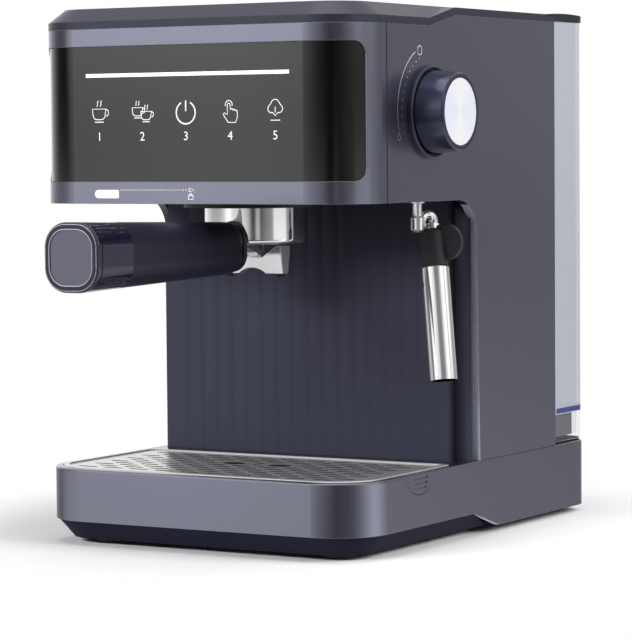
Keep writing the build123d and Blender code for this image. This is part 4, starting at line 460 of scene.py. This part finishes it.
def zone(material, axis, low, high):
    """A factor that is 1 between two places along an axis of the piece and 0 elsewhere."""
    tree = material.node_tree
    place = along(tree, axis, place_on(tree))
    above = calculate(tree, "GREATER_THAN", place, low)
    below = calculate(tree, "LESS_THAN", place, high)
    return calculate(tree, "MULTIPLY", above, below)


def blend_value(material, factor, label, outside, inside):
    """Drives a socket of the shader from one value to another by a factor."""
    drive(material, label, remap(material.node_tree, factor, target=(outside, inside)))


def blend_colour(material, factor, outside, inside):
    """Drives the base colour from one colour to another by a factor."""
    mixed = mix_colours(material.node_tree, factor, (*outside, 1.0), (*inside, 1.0))
    drive(material, "Base Color", mixed)


def paint(material, *nodes):
    """Gives a material to CAD nodes."""
    for node in nodes:
        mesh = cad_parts[node].data
        mesh.materials.clear()
        mesh.materials.append(material)


def grained(name, colour, roughness, scale=900.0, depth=GRAIN_DEPTH, **sockets):
    """A sprayed or moulded finish with softened edges."""
    material = finish(name, colour, **sockets)
    edge = soften_edges(material, EDGE_RADIUS)
    add_texture(material, fine_grain(), depth, edge, grain_scale=scale, roughness=roughness)
    return material


def brushed(name, colour, metallic, depth, scales, roughness, spread, edge_radius=0.0):
    """A metal finish with fine scratches; scales are those along the three axes."""
    material = finish(name, colour, metallic=metallic)
    edge = soften_edges(material, edge_radius) if edge_radius else None
    values = {f"scale_{axis}": scale for axis, scale in zip("xyz", scales)}
    values.update(roughness=roughness, roughness_spread=spread)
    add_texture(material, brush_lines(), depth, edge, **values)
    return material


class ESPRESSO_OT_paint_shell(bpy.types.Operator):
    """Paint the base, the head, the panels, the cover and the back splash"""

    bl_idname = "espresso.paint_shell"
    bl_label = "Paint Shell"

    def execute(self, context):
        colours = context.scene.espresso_finish
        slate = grained("SlatePaint", colours.slate, SLATE_ROUGH, metallic=SLATE_METAL)
        paint(slate, "base_shell", "fascia")
        # Painted light and shade on the side panels' front edges: the right edge is pale and plain
        # to stand in for its lit edge, and the left edge is dark to stand in for shade
        for node, colour in (
            ("side_panel_right", colours.painted_edge_light),
            ("side_panel_left", colours.painted_shade),
        ):
            panel = grained(f"Paint_{node}", colours.slate, SLATE_ROUGH, metallic=SLATE_METAL)
            self.paint_part(panel, self.front_edge(panel), colours.slate, colour)
            paint(panel, node)
        tray = grained("TrayPaint", colours.slate, SLATE_ROUGH)
        pan = zone(tray, "X", TRAY_LOW.x + TRAY_SKIRT, TRAY_HIGH.x - TRAY_SKIRT)
        self.paint_part(tray, pan, colours.slate, colours.rubber)
        paint(tray, "drip_tray")
        for name, colour, node in (
            ("CoverPaint", colours.cover, "top_cover"),
            ("LidPaint", colours.lid, "tank_lid"),
        ):
            paint(grained(name, colour, COVER_ROUGH, metallic=COVER_METAL), node)
        splash = grained(
            "SplashPaint", colours.splash, 0.45, metallic=0.12, specular_ior_level=0.12
        )
        # Painted shade: the strip beside the splash's right lip darkens towards the painted shade
        # colour
        blend_colour(splash, self.painted_shade(splash), colours.splash, colours.painted_shade)
        paint(splash, "back_splash", "rear_wall")
        foot = grained("PlinthPlastic", colours.plinth, 0.5, specular_ior_level=0.01)
        paint(foot, "plinth")
        black = grained("BlackPlastic", colours.black, 0.5, depth=2 * GRAIN_DEPTH)
        paint(black, "head_underside", "group_collar", "thermostats", "tank_socket")
        paint(black, "board_standoffs", "handle_ferrule", "wand_grip")
        return {"FINISHED"}

    def paint_part(self, material, part, metal, plain):
        """Metallic paint, apart from a part in a plain colour."""
        blend_colour(material, part, metal, plain)
        blend_value(material, part, "Metallic", SLATE_METAL, 0.0)

    def front_edge(self, material):
        """A factor that is 1 on a side panel's front edge under the head."""
        tree = material.node_tree
        facing = along(tree, "Y", place_on(tree, "Normal"))
        forward = calculate(tree, "LESS_THAN", facing, EDGE_FACING)
        return calculate(tree, "MULTIPLY", forward, zone(material, "Z", 0.0, FASCIA_LOW.z))

    def painted_shade(self, material):
        """Painted shade: a factor that rises to 1 along a strip beside the splash's right lip."""
        tree = material.node_tree
        across = along(tree, "X", place_on(tree))
        off = calculate(tree, "SUBTRACT", across, SPLASH_HIGH.x - SPLASH_SHADE_INSET)
        away = calculate(tree, "ABSOLUTE", off)
        return remap(tree, away, (0.0, SPLASH_SHADE_W), (1.0, 0.0), "SMOOTHSTEP")


class ESPRESSO_OT_paint_panel(bpy.types.Operator):
    """Finish the touch glass and its light bar"""

    bl_idname = "espresso.paint_panel"
    bl_label = "Finish Touch Panel"

    def execute(self, context):
        colours = context.scene.espresso_finish
        glass = finish(
            "TouchGlass", colours.panel, roughness=0.16, coat_weight=0.35, coat_roughness=0.08
        )
        paint(glass, "touch_glass")
        light = finish(
            "LightBar", WHITE[:3], roughness=0.4, emission_color=WHITE, emission_strength=0.4
        )
        paint(light, "light_bar")
        return {"FINISHED"}


class ESPRESSO_OT_paint_metal(bpy.types.Operator):
    """Finish the grate, the group, the wand and the knob cap"""

    bl_idname = "espresso.paint_metal"
    bl_label = "Finish Metal"

    def execute(self, context):
        colours = context.scene.espresso_finish
        chrome = finish("Chrome", colours.chrome, metallic=0.88, roughness=0.06)
        soften_edges(chrome, 0.4 * MM)
        paint(chrome, "portafilter_bowl", "steam_pipe", "pipe_flange", "wand_elbow")
        cast = finish("CastChrome", colours.chrome, metallic=0.7, roughness=0.12)
        soften_edges(cast, 0.8 * MM)
        paint(cast, "spout")
        sheet = brushed(
            "BrushedSheet",
            colours.steel,
            metallic=SHEET_METAL,
            depth=0.02 * MM,
            scales=(12.0, 1600.0, 1600.0),
            roughness=0.3,
            spread=0.2,
        )
        # Painted shade: below the top sheet, the walls of the grate's holes get the dark rubber
        # colour and no metal, standing in for the shade in the drains
        sheet_under = GRATE_HIGH.z - SHEET_DROP - HOLE_MARGIN
        hole_shade = zone(sheet, "Z", GRATE_LOW.z - MM, sheet_under)
        blend_colour(sheet, hole_shade, colours.steel, colours.rubber)
        blend_value(sheet, hole_shade, "Metallic", SHEET_METAL, 0.0)
        paint(sheet, "drip_grate")
        turned = {"depth": 0.01 * MM, "scales": (90.0, 90.0, 1400.0)}
        steel = brushed(
            "TurnedSteel", colours.steel, metallic=1.0, roughness=0.2, spread=0.12, **turned
        )
        paint(steel, "shower_screen", "shower_screw", "filter_basket", "handle_bolt")
        paint(steel, "wand_tube", "steam_nozzle", "case_screws", "lid_pins")
        sleeve = brushed(
            "SatinSleeve", colours.chrome, metallic=0.85, roughness=0.1, spread=0.06, **turned
        )
        self.paint_bore_shade(sleeve, colours)
        paint(sleeve, "froth_sleeve")
        cap = finish("SpunCap", colours.cap, metallic=0.1, roughness=0.3)
        self.paint_cap_sheen(cap, colours)
        paint(cap, "knob_cap")
        return {"FINISHED"}

    def paint_cap_sheen(self, material, colours):
        """Painted sheen of a turned disc: two paler and two cooler sectors round its axis, standing
        in for its reflections.
        """
        tree = material.node_tree
        off = calculate_vector(tree, "SUBTRACT", place_on(tree), (0.0, KNOB_Y, KNOB_Z))
        angle = calculate(tree, "ARCTAN2", along(tree, "Z", off), along(tree, "Y", off))
        wave = calculate(tree, "COSINE", calculate(tree, "MULTIPLY", angle, 2.0))
        share = remap(tree, wave, (-1.0, 1.0))
        blend_colour(material, share, colours.cap, colours.cap_painted_sheen)

    def paint_bore_shade(self, material, colours):
        """Painted shade: the inside of the sleeve, found by its distance from the sleeve's axis,
        gets the dark rubber colour.
        """
        tree = material.node_tree
        middle = (SLEEVE_LOW + SLEEVE_HIGH) / 2
        off = calculate_vector(tree, "SUBTRACT", place_on(tree), middle)
        across = calculate_vector(tree, "CROSS_PRODUCT", off, SLEEVE_WAY)
        distance = calculate_vector(tree, "LENGTH", across, outlet="Value")
        inside = calculate(tree, "LESS_THAN", distance, SLEEVE_BORE)
        blend_colour(material, inside, colours.chrome, colours.rubber)


class ESPRESSO_OT_paint_handle(bpy.types.Operator):
    """Finish the portafilter's handle and the steam knob"""

    bl_idname = "espresso.paint_handle"
    bl_label = "Finish Handle and Knob"

    def execute(self, context):
        colours = context.scene.espresso_finish
        grip = grained("HandleSatin", colours.handle, 0.34, specular_ior_level=0.35)
        paint(grip, "portafilter_handle")
        band = finish(
            "HandleGloss",
            colours.band,
            roughness=GLOSS_ROUGH,
            coat_weight=1.0,
            coat_tint=(0.78, 0.78, 1.0, 1.0),
        )
        soften_edges(band, EDGE_RADIUS)
        rim = zone(band, "Y", BAND_LOW.y - MM, BAND_LOW.y + BAND_RIM_W)
        blend_value(band, rim, "Roughness", GLOSS_ROUGH, 0.5)
        blend_value(band, rim, "Coat Weight", 1.0, 0.0)
        paint(band, "handle_band")
        # Painted highlight lines round the handle's end
        self.paint_rim_highlights(finish("RimLine", colours.rim_highlight, metallic=0.9, roughness=0.25))
        paint(grained("HandleCap", colours.end_cap, 0.35, metallic=0.5), "handle_end_cap")
        knob = brushed(
            "KnobSatin",
            colours.knob,
            metallic=0.7,
            depth=0.03 * MM,
            scales=(6.0, 420.0, 420.0),
            roughness=0.2,
            spread=0.3,
            edge_radius=0.6 * MM,
        )
        paint(knob, "steam_knob")
        paint(grained("BezelSatin", colours.bezel, 0.35, metallic=0.6), "knob_bezel")
        return {"FINISHED"}

    def paint_rim_highlights(self, material):
        """Painted highlight: thin bright lines on the rim of the handle's end, round its outside
        and round the cap, standing in for the rim's highlights.
        """
        middle = (BAND_LOW + BAND_HIGH) / 2
        size = (BAND_HIGH - BAND_LOW) / MM
        for name, inset, sunk in (
            ("rim_line_outer", RIM_INSET, 0.3),
            ("rim_line_inner", CAP_RIM_W, 0.1),
        ):
            place = front_plane(middle.x, BAND_LOW.y + sunk * MM, middle.z)
            width, height = size.x - 2 * inset, size.z - 2 * inset
            ring = rounded_box(width, height, TIP_CORNER * size.x - inset)
            marks(name, [(ring, True)], RIM_HIGHLIGHT_W, place, material, "portafilter")


class ESPRESSO_OT_paint_tank(bpy.types.Operator):
    """Finish the clear tank, its valve and the rubber pieces"""

    bl_idname = "espresso.paint_tank"
    bl_label = "Finish Tank"

    def execute(self, context):
        colours = context.scene.espresso_finish
        clear = finish("ClearTank", colours.tank, roughness=0.08)
        self.thicken_edges(clear, colours)
        clear.surface_render_method = "BLENDED"
        paint(clear, "water_tank")
        insert = grained("InsertGrey", colours.insert, 0.5)
        paint(insert, "tank_insert", "tank_valve_body", "tank_valve")
        rubber = grained("Rubber", colours.rubber, 0.7, depth=0.05 * MM)
        paint(rubber, "spout_tips", "rubber_feet", "group_gasket", "tank_pad")
        paint(rubber, "socket_seal", "pump_mounts", "cord_gland")
        # Painted shade in the seams between the fascia and the side panels
        self.paint_seam_shadows(rubber)
        return {"FINISHED"}

    def thicken_edges(self, material, colours):
        """Clear walls, denser and bluer where they are seen edge-on and clearer at the foot."""
        tree = material.node_tree
        facing = add_node(tree, "LayerWeight", "Facing", {"Blend": 0.1})
        blend_colour(material, facing, colours.tank, colours.tank_edge)
        dense = remap(tree, facing, target=(0.55, 0.95))
        foot = zone(material, "Z", TANK_LOW.z, INSERT_HIGH.z)
        clearer = remap(tree, foot, target=(1.0, 0.2))
        drive(material, "Alpha", calculate(tree, "MULTIPLY", dense, clearer))

    def paint_seam_shadows(self, material):
        """Painted shade: thin dark strips on the seams between the fascia and the side panels,
        standing in for the seams' shadow.
        """
        middle = (FASCIA_HIGH.y + PANEL_LOW.y) / 2
        height = (FASCIA_HIGH.z - FASCIA_LOW.z) / MM
        half = SEAM_SHADOW_HALF_W
        strip = [(-half, 0.0), (half, 0.0), (half, height), (-half, height)]
        for name, x in (("seam_right", PANEL_HIGH.x), ("seam_left", LEFT_LOW.x)):
            place = right_plane(x, middle, FASCIA_LOW.z)
            plate(name, strip, place, material, "body")


class ESPRESSO_OT_paint_inside(bpy.types.Operator):
    """Finish the pieces inside the body"""

    bl_idname = "espresso.paint_inside"
    bl_label = "Finish Inside"

    def execute(self, context):
        colours = context.scene.espresso_finish
        casting = grained(
            "Casting", colours.casting, 0.5, metallic=0.9, scale=400.0, depth=0.1 * MM
        )
        paint(casting, "thermoblock", "pump")
        brass = finish("Brass", colours.brass, metallic=1.0, roughness=0.25)
        paint(brass, "valve_spindle", "steam_valve")
        board = finish("Board", colours.board, roughness=0.3)
        paint(board, "touch_board", "control_board")
        hose = finish("Hose", colours.hose, roughness=0.35)
        paint(hose, "inlet_hose", "pressure_hose", "steam_hose")
        return {"FINISHED"}


def print_material(colours):
    """The white print, made once; it is lit a little from behind on the panel."""
    if "PrintWhite" in bpy.data.materials:
        return bpy.data.materials["PrintWhite"]
    lit = (*colours.print_white, 1.0)
    return finish(
        "PrintWhite", colours.print_white, roughness=0.5, emission_color=lit, emission_strength=0.45
    )


def arc(centre, radius, start, end, steps=9):
    """Points on an arc; angles in degrees, counted from the right towards the top."""
    points = []
    for step in range(steps):
        angle = math.radians(start + (end - start) * step / (steps - 1))
        points.append(
            (centre[0] + radius * math.cos(angle), centre[1] + radius * math.sin(angle))
        )
    return points


def rounded_box(width, height, radius):
    """The outline of a rectangle with round corners about the origin."""
    across, up = width / 2 - radius, height / 2 - radius
    outline = arc((across, up), radius, 0, 90) + arc((-across, up), radius, 90, 180)
    return outline + arc((-across, -up), radius, 180, 270) + arc((across, -up), radius, 270, 360)


def add_line(curve, points, closed):
    """Adds a line through points in millimetres to a curve."""
    spline = curve.splines.new("POLY")
    spline.points.add(len(points) - 1)
    for point, (across, up) in zip(spline.points, points):
        point.co = (across * MM, up * MM, 0.0, 1.0)
    spline.use_cyclic_u = closed


def lay_on(curve, place, material, body):
    """Puts a curve on its plane, as a piece that rides on a body."""
    piece = bpy.data.objects.new(curve.name, curve)
    bpy.context.collection.objects.link(piece)
    piece.matrix_world = place
    curve.materials.append(material)
    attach(piece, body)


def plate(name, outline, place, material, body):
    """A printed area as one piece, from its outline in millimetres on the plane of place."""
    curve = bpy.data.curves.new(name, "CURVE")
    curve.dimensions = "2D"
    curve.fill_mode = "BOTH"
    curve.extrude = PRINT_T
    add_line(curve, outline, True)
    lay_on(curve, place, material, body)


def marks(name, strokes, width, place, material, body):
    """Printed strokes as one piece. Each stroke is (points, closed), with the points in millimetres
    on the plane of place, whose third axis leaves the surface."""
    curve = bpy.data.curves.new(name, "CURVE")
    curve.dimensions = "3D"
    curve.bevel_depth = width / 2
    curve.bevel_resolution = 1
    curve.use_fill_caps = True
    for points, closed in strokes:
        add_line(curve, points, closed)
    flat = place @ Matrix.Diagonal((1.0, 1.0, STROKE_FLATTEN, 1.0))
    lay_on(curve, flat, material, body)


def front_plane(x, y, z):
    """A plane on the front of the machine: right, up and out of the surface."""
    return Matrix(((1, 0, 0, x), (0, 0, -1, y), (0, 1, 0, z), (0, 0, 0, 1)))


def right_plane(x, y, z):
    """A plane on the machine's right side: to the back, up and out of the surface."""
    return Matrix(((0, 0, 1, x), (1, 0, 0, y), (0, 1, 0, z), (0, 0, 0, 1)))


def shifted(points, x, z, size=1.0):
    """Points drawn about the origin, scaled and moved."""
    return [(x + across * size, z + up * size) for across, up in points]


def cup_strokes(x, z, size):
    """A cup with its handle, saucer and steam."""
    bowl = [(-4.6, 2.4), (-4.2, -0.6)] + arc((-1.6, -0.9), 2.5, 180, 270, 5)
    bowl += arc((1.4, -0.9), 2.5, 270, 360, 5) + [(4.4, 2.4)]
    strokes = [(bowl, True), (arc((4.3, 0.3), 1.9, 80, -80, 7), False)]
    strokes.append(([(-3.0, -4.8), (3.0, -4.8)], False))
    for wisp in (-1.2, 1.0):
        curl = [(wisp - 0.4, 3.8), (wisp + 0.3, 5.0), (wisp - 0.1, 5.8), (wisp + 0.6, 7.0)]
        strokes.append((curl, False))
    return [(shifted(points, x, z, size), closed) for points, closed in strokes]


def hand_strokes(x, z):
    """A hand with one finger out and an arc for the touch."""
    outline = [(-1.7, -1.6), (-1.7, 3.4)] + arc((-0.8, 3.6), 0.9, 180, 0, 7) + [(0.1, 0.9)]
    outline += arc((0.9, 0.9), 0.75, 160, 20, 5) + arc((2.4, 0.5), 0.75, 160, 20, 5)
    outline += arc((3.8, 0.0), 0.75, 150, 0, 5) + [(4.6, -3.0), (3.4, -5.8), (-1.2, -5.8)]
    outline += [(-3.6, -2.6), (-4.4, -1.2), (-3.4, -0.7)]
    tap = arc((-0.8, 3.8), 2.2, 200, -20, 9)
    return [(shifted(outline, x, z), True), (shifted(tap, x, z), False)]


def steam_strokes(x, z):
    """A cloud of steam over a bar."""
    cloud = arc((-2.5, 1.2), 2.1, 290, 120, 7) + arc((0.0, 3.6), 2.6, 160, 20, 7)
    cloud += arc((2.5, 1.2), 2.1, 60, -110, 7) + [(0.0, -2.4)]
    stem, bar = [(0.0, 2.2), (0.0, -0.8)], [(-3.0, -4.9), (3.0, -4.9)]
    strokes = ((cloud, True), (stem, False), (bar, False))
    return [(shifted(points, x, z), closed) for points, closed in strokes]


class ESPRESSO_OT_print_panel(bpy.types.Operator):
    """Print the symbols and their numbers on the touch glass"""

    bl_idname = "espresso.print_panel"
    bl_label = "Print Touch Panel"

    def execute(self, context):
        sizes = context.scene.espresso_marks
        white = print_material(context.scene.espresso_finish)
        place = front_plane(MID_X, GLASS_LOW.y, GLASS_LOW.z + sizes.symbol_rise)
        pitch = sizes.pitch / MM
        thin = cup_strokes(-2 * pitch, 0.0, 1.0)
        thin += cup_strokes(-pitch - 3.0, 1.0, 0.78) + cup_strokes(-pitch + 2.6, -1.1, 0.78)
        thin += hand_strokes(pitch, 0.0) + steam_strokes(2 * pitch, 0.0)
        marks("panel_symbols", thin, sizes.line, place, white, "body")
        bold = [(arc((0.0, -0.2), 6.1, 118, 422, 25), False), ([(0.0, 0.6), (0.0, 6.4)], False)]
        marks("power_symbol", bold, sizes.bold_line, place, white, "body")
        for count in range(5):
            text = bpy.data.curves.new(f"panel_number_{count + 1}", "FONT")
            text.body = str(count + 1)
            text.size = sizes.number_size * NUMBER_FILL
            text.align_x = "CENTER"
            text.align_y = "CENTER"
            text.extrude = PRINT_T
            place = front_plane(
                MID_X + (count - 2) * sizes.pitch, GLASS_LOW.y, GLASS_LOW.z + sizes.number_rise
            )
            lay_on(text, place, white, "body")
        return {"FINISHED"}


class ESPRESSO_OT_print_lock(bpy.types.Operator):
    """Print the lock track for the portafilter on the strip under the glass"""

    bl_idname = "espresso.print_lock"
    bl_label = "Print Lock Track"

    def execute(self, context):
        sizes = context.scene.espresso_marks
        white = print_material(context.scene.espresso_finish)
        place = front_plane(MID_X, FASCIA_LOW.y, FASCIA_LOW.z + sizes.lock_rise)
        track = []
        for dot in range(24):
            across = -42.6 + dot * 1.85
            track.append(([(across, 0.0), (across + 0.7, 0.0)], False))
        track.append(([(2.2, 1.1), (5.6, 0.0), (2.2, -0.9)], True))
        marks("lock_track", track, sizes.line, place, white, "body")
        shackle = arc((3.2, -2.9), 0.9, 180, 0, 7)
        lock = [(shackle, False), ([(1.7, -3.0), (4.7, -3.0), (4.7, -5.0), (1.7, -5.0)], True)]
        marks("lock_sign", lock, sizes.line, place, white, "body")
        pill = arc((-57.3, -2.2), 2.3, 90, 270, 9) + arc((-44.4, -3.7), 0.8, 270, 360, 4)
        pill += arc((-44.4, -0.7), 0.8, 0, 90, 4)
        plate("lock_start", pill, place, white, "body")
        return {"FINISHED"}


class ESPRESSO_OT_print_scale(bpy.types.Operator):
    """Print the scale round the steam knob"""

    bl_idname = "espresso.print_scale"
    bl_label = "Print Knob Scale"

    def execute(self, context):
        sizes = context.scene.espresso_marks
        fading = self.fading_print(context.scene.espresso_finish)
        place = right_plane(PANEL_HIGH.x, KNOB_Y, KNOB_Z)
        middle = (0.0, 0.0)
        radius = sizes.scale_radius / MM
        dots_at = sizes.dot_radius / MM
        ring_centre = arc(middle, radius - 1.0, 108, 109, 2)[0]
        strokes = [(arc(ring_centre, 2.5, 0, 345, 24), True)]
        strokes.append((arc(middle, radius, 116, 196, 28), False))
        across, up = arc(middle, radius + 0.6, 200, 201, 2)[0]
        drop = arc((across, up - 1.6), 1.5, 150, 390, 12) + [(across, up + 1.6)]
        strokes.append((drop, True))
        for dot in range(12):
            angle = 110 + dot * 8.2
            strokes.append((arc(middle, dots_at, angle, angle + 1.6, 2), False))
        marks("knob_scale", strokes, sizes.line, place, fading, "body")
        return {"FINISHED"}

    def fading_print(self, colours):
        """The scale's print, which grows paler towards the top of the scale."""
        material = finish("ScalePrint", colours.print_white, roughness=0.5)
        tree = material.node_tree
        climb = remap(tree, along(tree, "Y", place_on(tree)), SCALE_FADE)
        blend_colour(material, climb, colours.print_dim, colours.print_white)
        return material


def upright_band(name, outline, low, high, closed):
    """A mesh that follows an outline between two heights."""
    points, faces = [], []
    for across, back in outline:
        points += [(across, back, low), (across, back, high)]
    count = len(outline)
    for step in range(count if closed else count - 1):
        first, second = 2 * step, 2 * ((step + 1) % count)
        faces.append((first, second, second + 1, first + 1))
    mesh = bpy.data.meshes.new(name)
    mesh.from_pydata(points, [], faces)
    return mesh


class ESPRESSO_OT_print_level(bpy.types.Operator):
    """Print the lowest water level round the tank"""

    bl_idname = "espresso.print_level"
    bl_label = "Print Level Line"

    def execute(self, context):
        sizes = context.scene.espresso_marks
        colours = context.scene.espresso_finish
        pad_inset = TANK_HIGH.x - PAD_HIGH.x
        back = PAD_HIGH.y + pad_inset
        start = TANK_LOW.y + LEVEL_START
        low = TANK_LOW.z + sizes.level_rise - sizes.level_height / 2
        inner, outer = TANK_CORNER, TANK_CORNER + LEVEL_SKIN
        outline = [(TANK_HIGH.x + LEVEL_SKIN, start)]
        outline += arc((TANK_HIGH.x - inner, back - inner), outer, 0, 90)
        outline += arc((TANK_LOW.x + inner, back - inner), outer, 90, 180)
        outline.append((TANK_LOW.x - LEVEL_SKIN, start))
        mesh = upright_band("level_line", outline, low, low + sizes.level_height, False)
        mesh.materials.append(finish("LevelLine", colours.level_line, roughness=0.4))
        piece = bpy.data.objects.new("level_line", mesh)
        context.collection.objects.link(piece)
        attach(piece, "tank")
        return {"FINISHED"}


def direction(turn, rise):
    """The way to a place round from the front to the right and up, with angles in radians."""
    return Vector(
        (math.sin(turn) * math.cos(rise), -math.cos(turn) * math.cos(rise), math.sin(rise))
    )


def soft_box(name, azimuth, elevation, distance, width, height, power, aim):
    """A rectangular lamp that looks at the aim from a direction round the object, in degrees."""
    lamp = bpy.data.lights.new(name, "AREA")
    lamp.shape = "RECTANGLE"
    lamp.size = width
    lamp.size_y = height
    lamp.energy = power
    piece = bpy.data.objects.new(name, lamp)
    bpy.context.collection.objects.link(piece)
    way = direction(math.radians(azimuth), math.radians(elevation))
    piece.location = aim + way * distance
    piece.rotation_euler = way.to_track_quat("Z", "Y").to_euler()
    return piece


def card_row(tree, share, levels):
    """A ramp of the cards' brightness round the ring; returns its colour."""
    ramp = tree.nodes.new("ShaderNodeValToRGB")
    stops = ramp.color_ramp.elements
    while len(stops) > 1:
        stops.remove(stops[-1])
    for index, (degrees, level) in enumerate(levels):
        place = (degrees + 180) / 360
        stop = stops[0] if index == 0 else stops.new(place)
        stop.position = place
        grey = level / CARD_PEAK
        stop.color = (grey, grey, grey, 1.0)
    tree.links.new(share, ramp.inputs["Fac"])
    return ramp.outputs["Color"]


def card_light():
    """The cards' light: rows of levels that blend into each other with height."""
    material = bpy.data.materials.new("CardRing")
    material.use_nodes = True
    tree = material.node_tree
    tree.nodes.remove(tree.nodes["Principled BSDF"])
    place = place_on(tree)
    forward = calculate(tree, "MULTIPLY", along(tree, "Y", place), -1.0)
    angle = calculate(tree, "ARCTAN2", along(tree, "X", place), forward)
    share = remap(tree, angle, (-math.pi, math.pi))
    below, levels = CARD_ROWS[0]
    light = card_row(tree, share, levels)
    for height, levels in CARD_ROWS[1:]:
        climb = remap(tree, along(tree, "Z", place), (below, height))
        light = mix_colours(tree, climb, light, card_row(tree, share, levels))
        below = height
    glow = add_node(tree, "Emission", "Emission", {"Strength": CARD_PEAK, "Color": light})
    tree.links.new(glow, tree.nodes["Material Output"].inputs["Surface"])
    return material


class ESPRESSO_OT_set_studio(bpy.types.Operator):
    """Set the camera, the floor, the lamps and the white background"""

    bl_idname = "espresso.set_studio"
    bl_label = "Set Studio"

    def execute(self, context):
        scene = context.scene
        studio = scene.espresso_studio
        self.set_camera(scene, studio)
        self.set_world(scene, studio)
        self.set_floor()
        aim = (Vector(CAD_BOX[0]) + Vector(CAD_BOX[1])) / 2
        for name, *stand in SOFT_BOXES:
            lamp = soft_box(f"{name}_box", *stand, getattr(studio, f"{name}_power"), aim)
            lamp.visible_glossy = name == "top"
        self.set_cards()
        return {"FINISHED"}

    def set_camera(self, scene, studio):
        """The camera at the photograph's viewing angle."""
        camera = bpy.data.cameras.new("photo_camera")
        camera.sensor_fit = "VERTICAL"
        camera.sensor_height = 36.0
        camera.lens = studio.lens
        camera.clip_start = 0.05
        piece = bpy.data.objects.new("photo_camera", camera)
        scene.collection.objects.link(piece)
        back, roll = direction(studio.azimuth, studio.elevation), studio.roll
        right = Vector((0.0, 0.0, 1.0)).cross(back).normalized()
        up = back.cross(right)
        tilted_right = right * math.cos(roll) + up * math.sin(roll)
        tilted_up = up * math.cos(roll) - right * math.sin(roll)
        stance = Matrix((tilted_right, tilted_up, back)).transposed().to_4x4()
        stance.translation = Vector(studio.camera_place)
        piece.matrix_world = stance
        scene.camera = piece

    def set_world(self, scene, studio):
        """Even light, and white where the camera, reflections and clear pieces see the room."""
        world = bpy.data.worlds.new("white_room")
        world.use_nodes = True
        scene.world = world
        tree = world.node_tree
        room = tree.nodes["Background"]
        room.inputs["Color"].default_value = WHITE
        room.inputs["Strength"].default_value = studio.room_light
        rays = tree.nodes.new("ShaderNodeLightPath").outputs
        seen = calculate(tree, "MAXIMUM", rays["Is Camera Ray"], rays["Is Glossy Ray"])
        seen = calculate(tree, "MAXIMUM", seen, rays["Is Transmission Ray"])
        white = add_node(tree, "Background", "Background", {"Color": WHITE})
        choice = {"Fac": seen, 1: room.outputs["Background"], 2: white}
        pick = add_node(tree, "MixShader", "Shader", choice)
        tree.links.new(pick, tree.nodes["World Output"].inputs["Surface"])
        scene.view_settings.view_transform = "Standard"

    def set_floor(self):
        """A pale floor that fades out round the machine and keeps its shadow."""
        reach = FLOOR_REACH
        mesh = bpy.data.meshes.new("floor")
        mesh.from_pydata(
            [(-reach, -reach, 0), (reach, -reach, 0), (reach, reach, 0), (-reach, reach, 0)],
            [],
            [(0, 1, 2, 3)],
        )
        pale = finish("PaleFloor", (0.96, 0.96, 0.96), roughness=0.9, specular_ior_level=0.0)
        tree = pale.node_tree
        middle = (MID_X, (BASE_LOW.y + BASE_HIGH.y) / 2, 0.0)
        off = calculate_vector(tree, "SUBTRACT", place_on(tree), middle)
        distance = calculate_vector(tree, "LENGTH", off, outlet="Value")
        drive(pale, "Alpha", remap(tree, distance, FLOOR_FADE, (1.0, 0.0), "SMOOTHSTEP"))
        mesh.materials.append(pale)
        floor = bpy.data.objects.new("floor", mesh)
        bpy.context.collection.objects.link(floor)
        floor.visible_glossy = False

    def set_cards(self):
        """A ring of pale and dark cards that only reflections see."""
        outline = []
        for step in range(RING_SIDES):
            turn = math.tau * step / RING_SIDES
            outline.append((RING_R * math.sin(turn), -RING_R * math.cos(turn)))
        mesh = upright_band("card_ring", outline, RING_LOW, RING_HIGH, True)
        mesh.materials.append(card_light())
        piece = bpy.data.objects.new("card_ring", mesh)
        bpy.context.collection.objects.link(piece)
        piece.visible_camera = False
        piece.visible_diffuse = False
        piece.visible_transmission = False
        piece.visible_shadow = False


class ESPRESSO_PT_machine(bpy.types.Panel):
    """Sidebar with the machine's steps"""

    bl_idname = "ESPRESSO_PT_machine"
    bl_label = "Espresso Machine"
    bl_space_type = "VIEW_3D"
    bl_region_type = "UI"
    bl_category = "Espresso"

    def draw(self, context):
        for operator in OPERATORS:
            self.layout.operator(operator.bl_idname)


OPERATORS = (
    ESPRESSO_OT_paint_shell,
    ESPRESSO_OT_paint_panel,
    ESPRESSO_OT_paint_metal,
    ESPRESSO_OT_paint_handle,
    ESPRESSO_OT_paint_tank,
    ESPRESSO_OT_paint_inside,
    ESPRESSO_OT_print_panel,
    ESPRESSO_OT_print_lock,
    ESPRESSO_OT_print_scale,
    ESPRESSO_OT_print_level,
    ESPRESSO_OT_set_studio,
)
SETTINGS = (
    ("espresso_finish", EspressoFinish),
    ("espresso_marks", EspressoMarks),
    ("espresso_studio", EspressoStudio),
)


def register():
    """Registers the settings, the operators and the panel."""
    for name, group in SETTINGS:
        bpy.utils.register_class(group)
        setattr(bpy.types.Scene, name, bpy.props.PointerProperty(type=group))
    for operator in OPERATORS:
        bpy.utils.register_class(operator)
    bpy.utils.register_class(ESPRESSO_PT_machine)


def unregister():
    """Takes back what register adds."""
    bpy.utils.unregister_class(ESPRESSO_PT_machine)
    for operator in reversed(OPERATORS):
        bpy.utils.unregister_class(operator)
    for name, group in reversed(SETTINGS):
        delattr(bpy.types.Scene, name)
        bpy.utils.unregister_class(group)


def main():
    """Runs every step in order."""
    register()
    for operator in OPERATORS:
        area, name = operator.bl_idname.split(".")
        getattr(getattr(bpy.ops, area), name)()


if __name__ == "__main__":
    main()
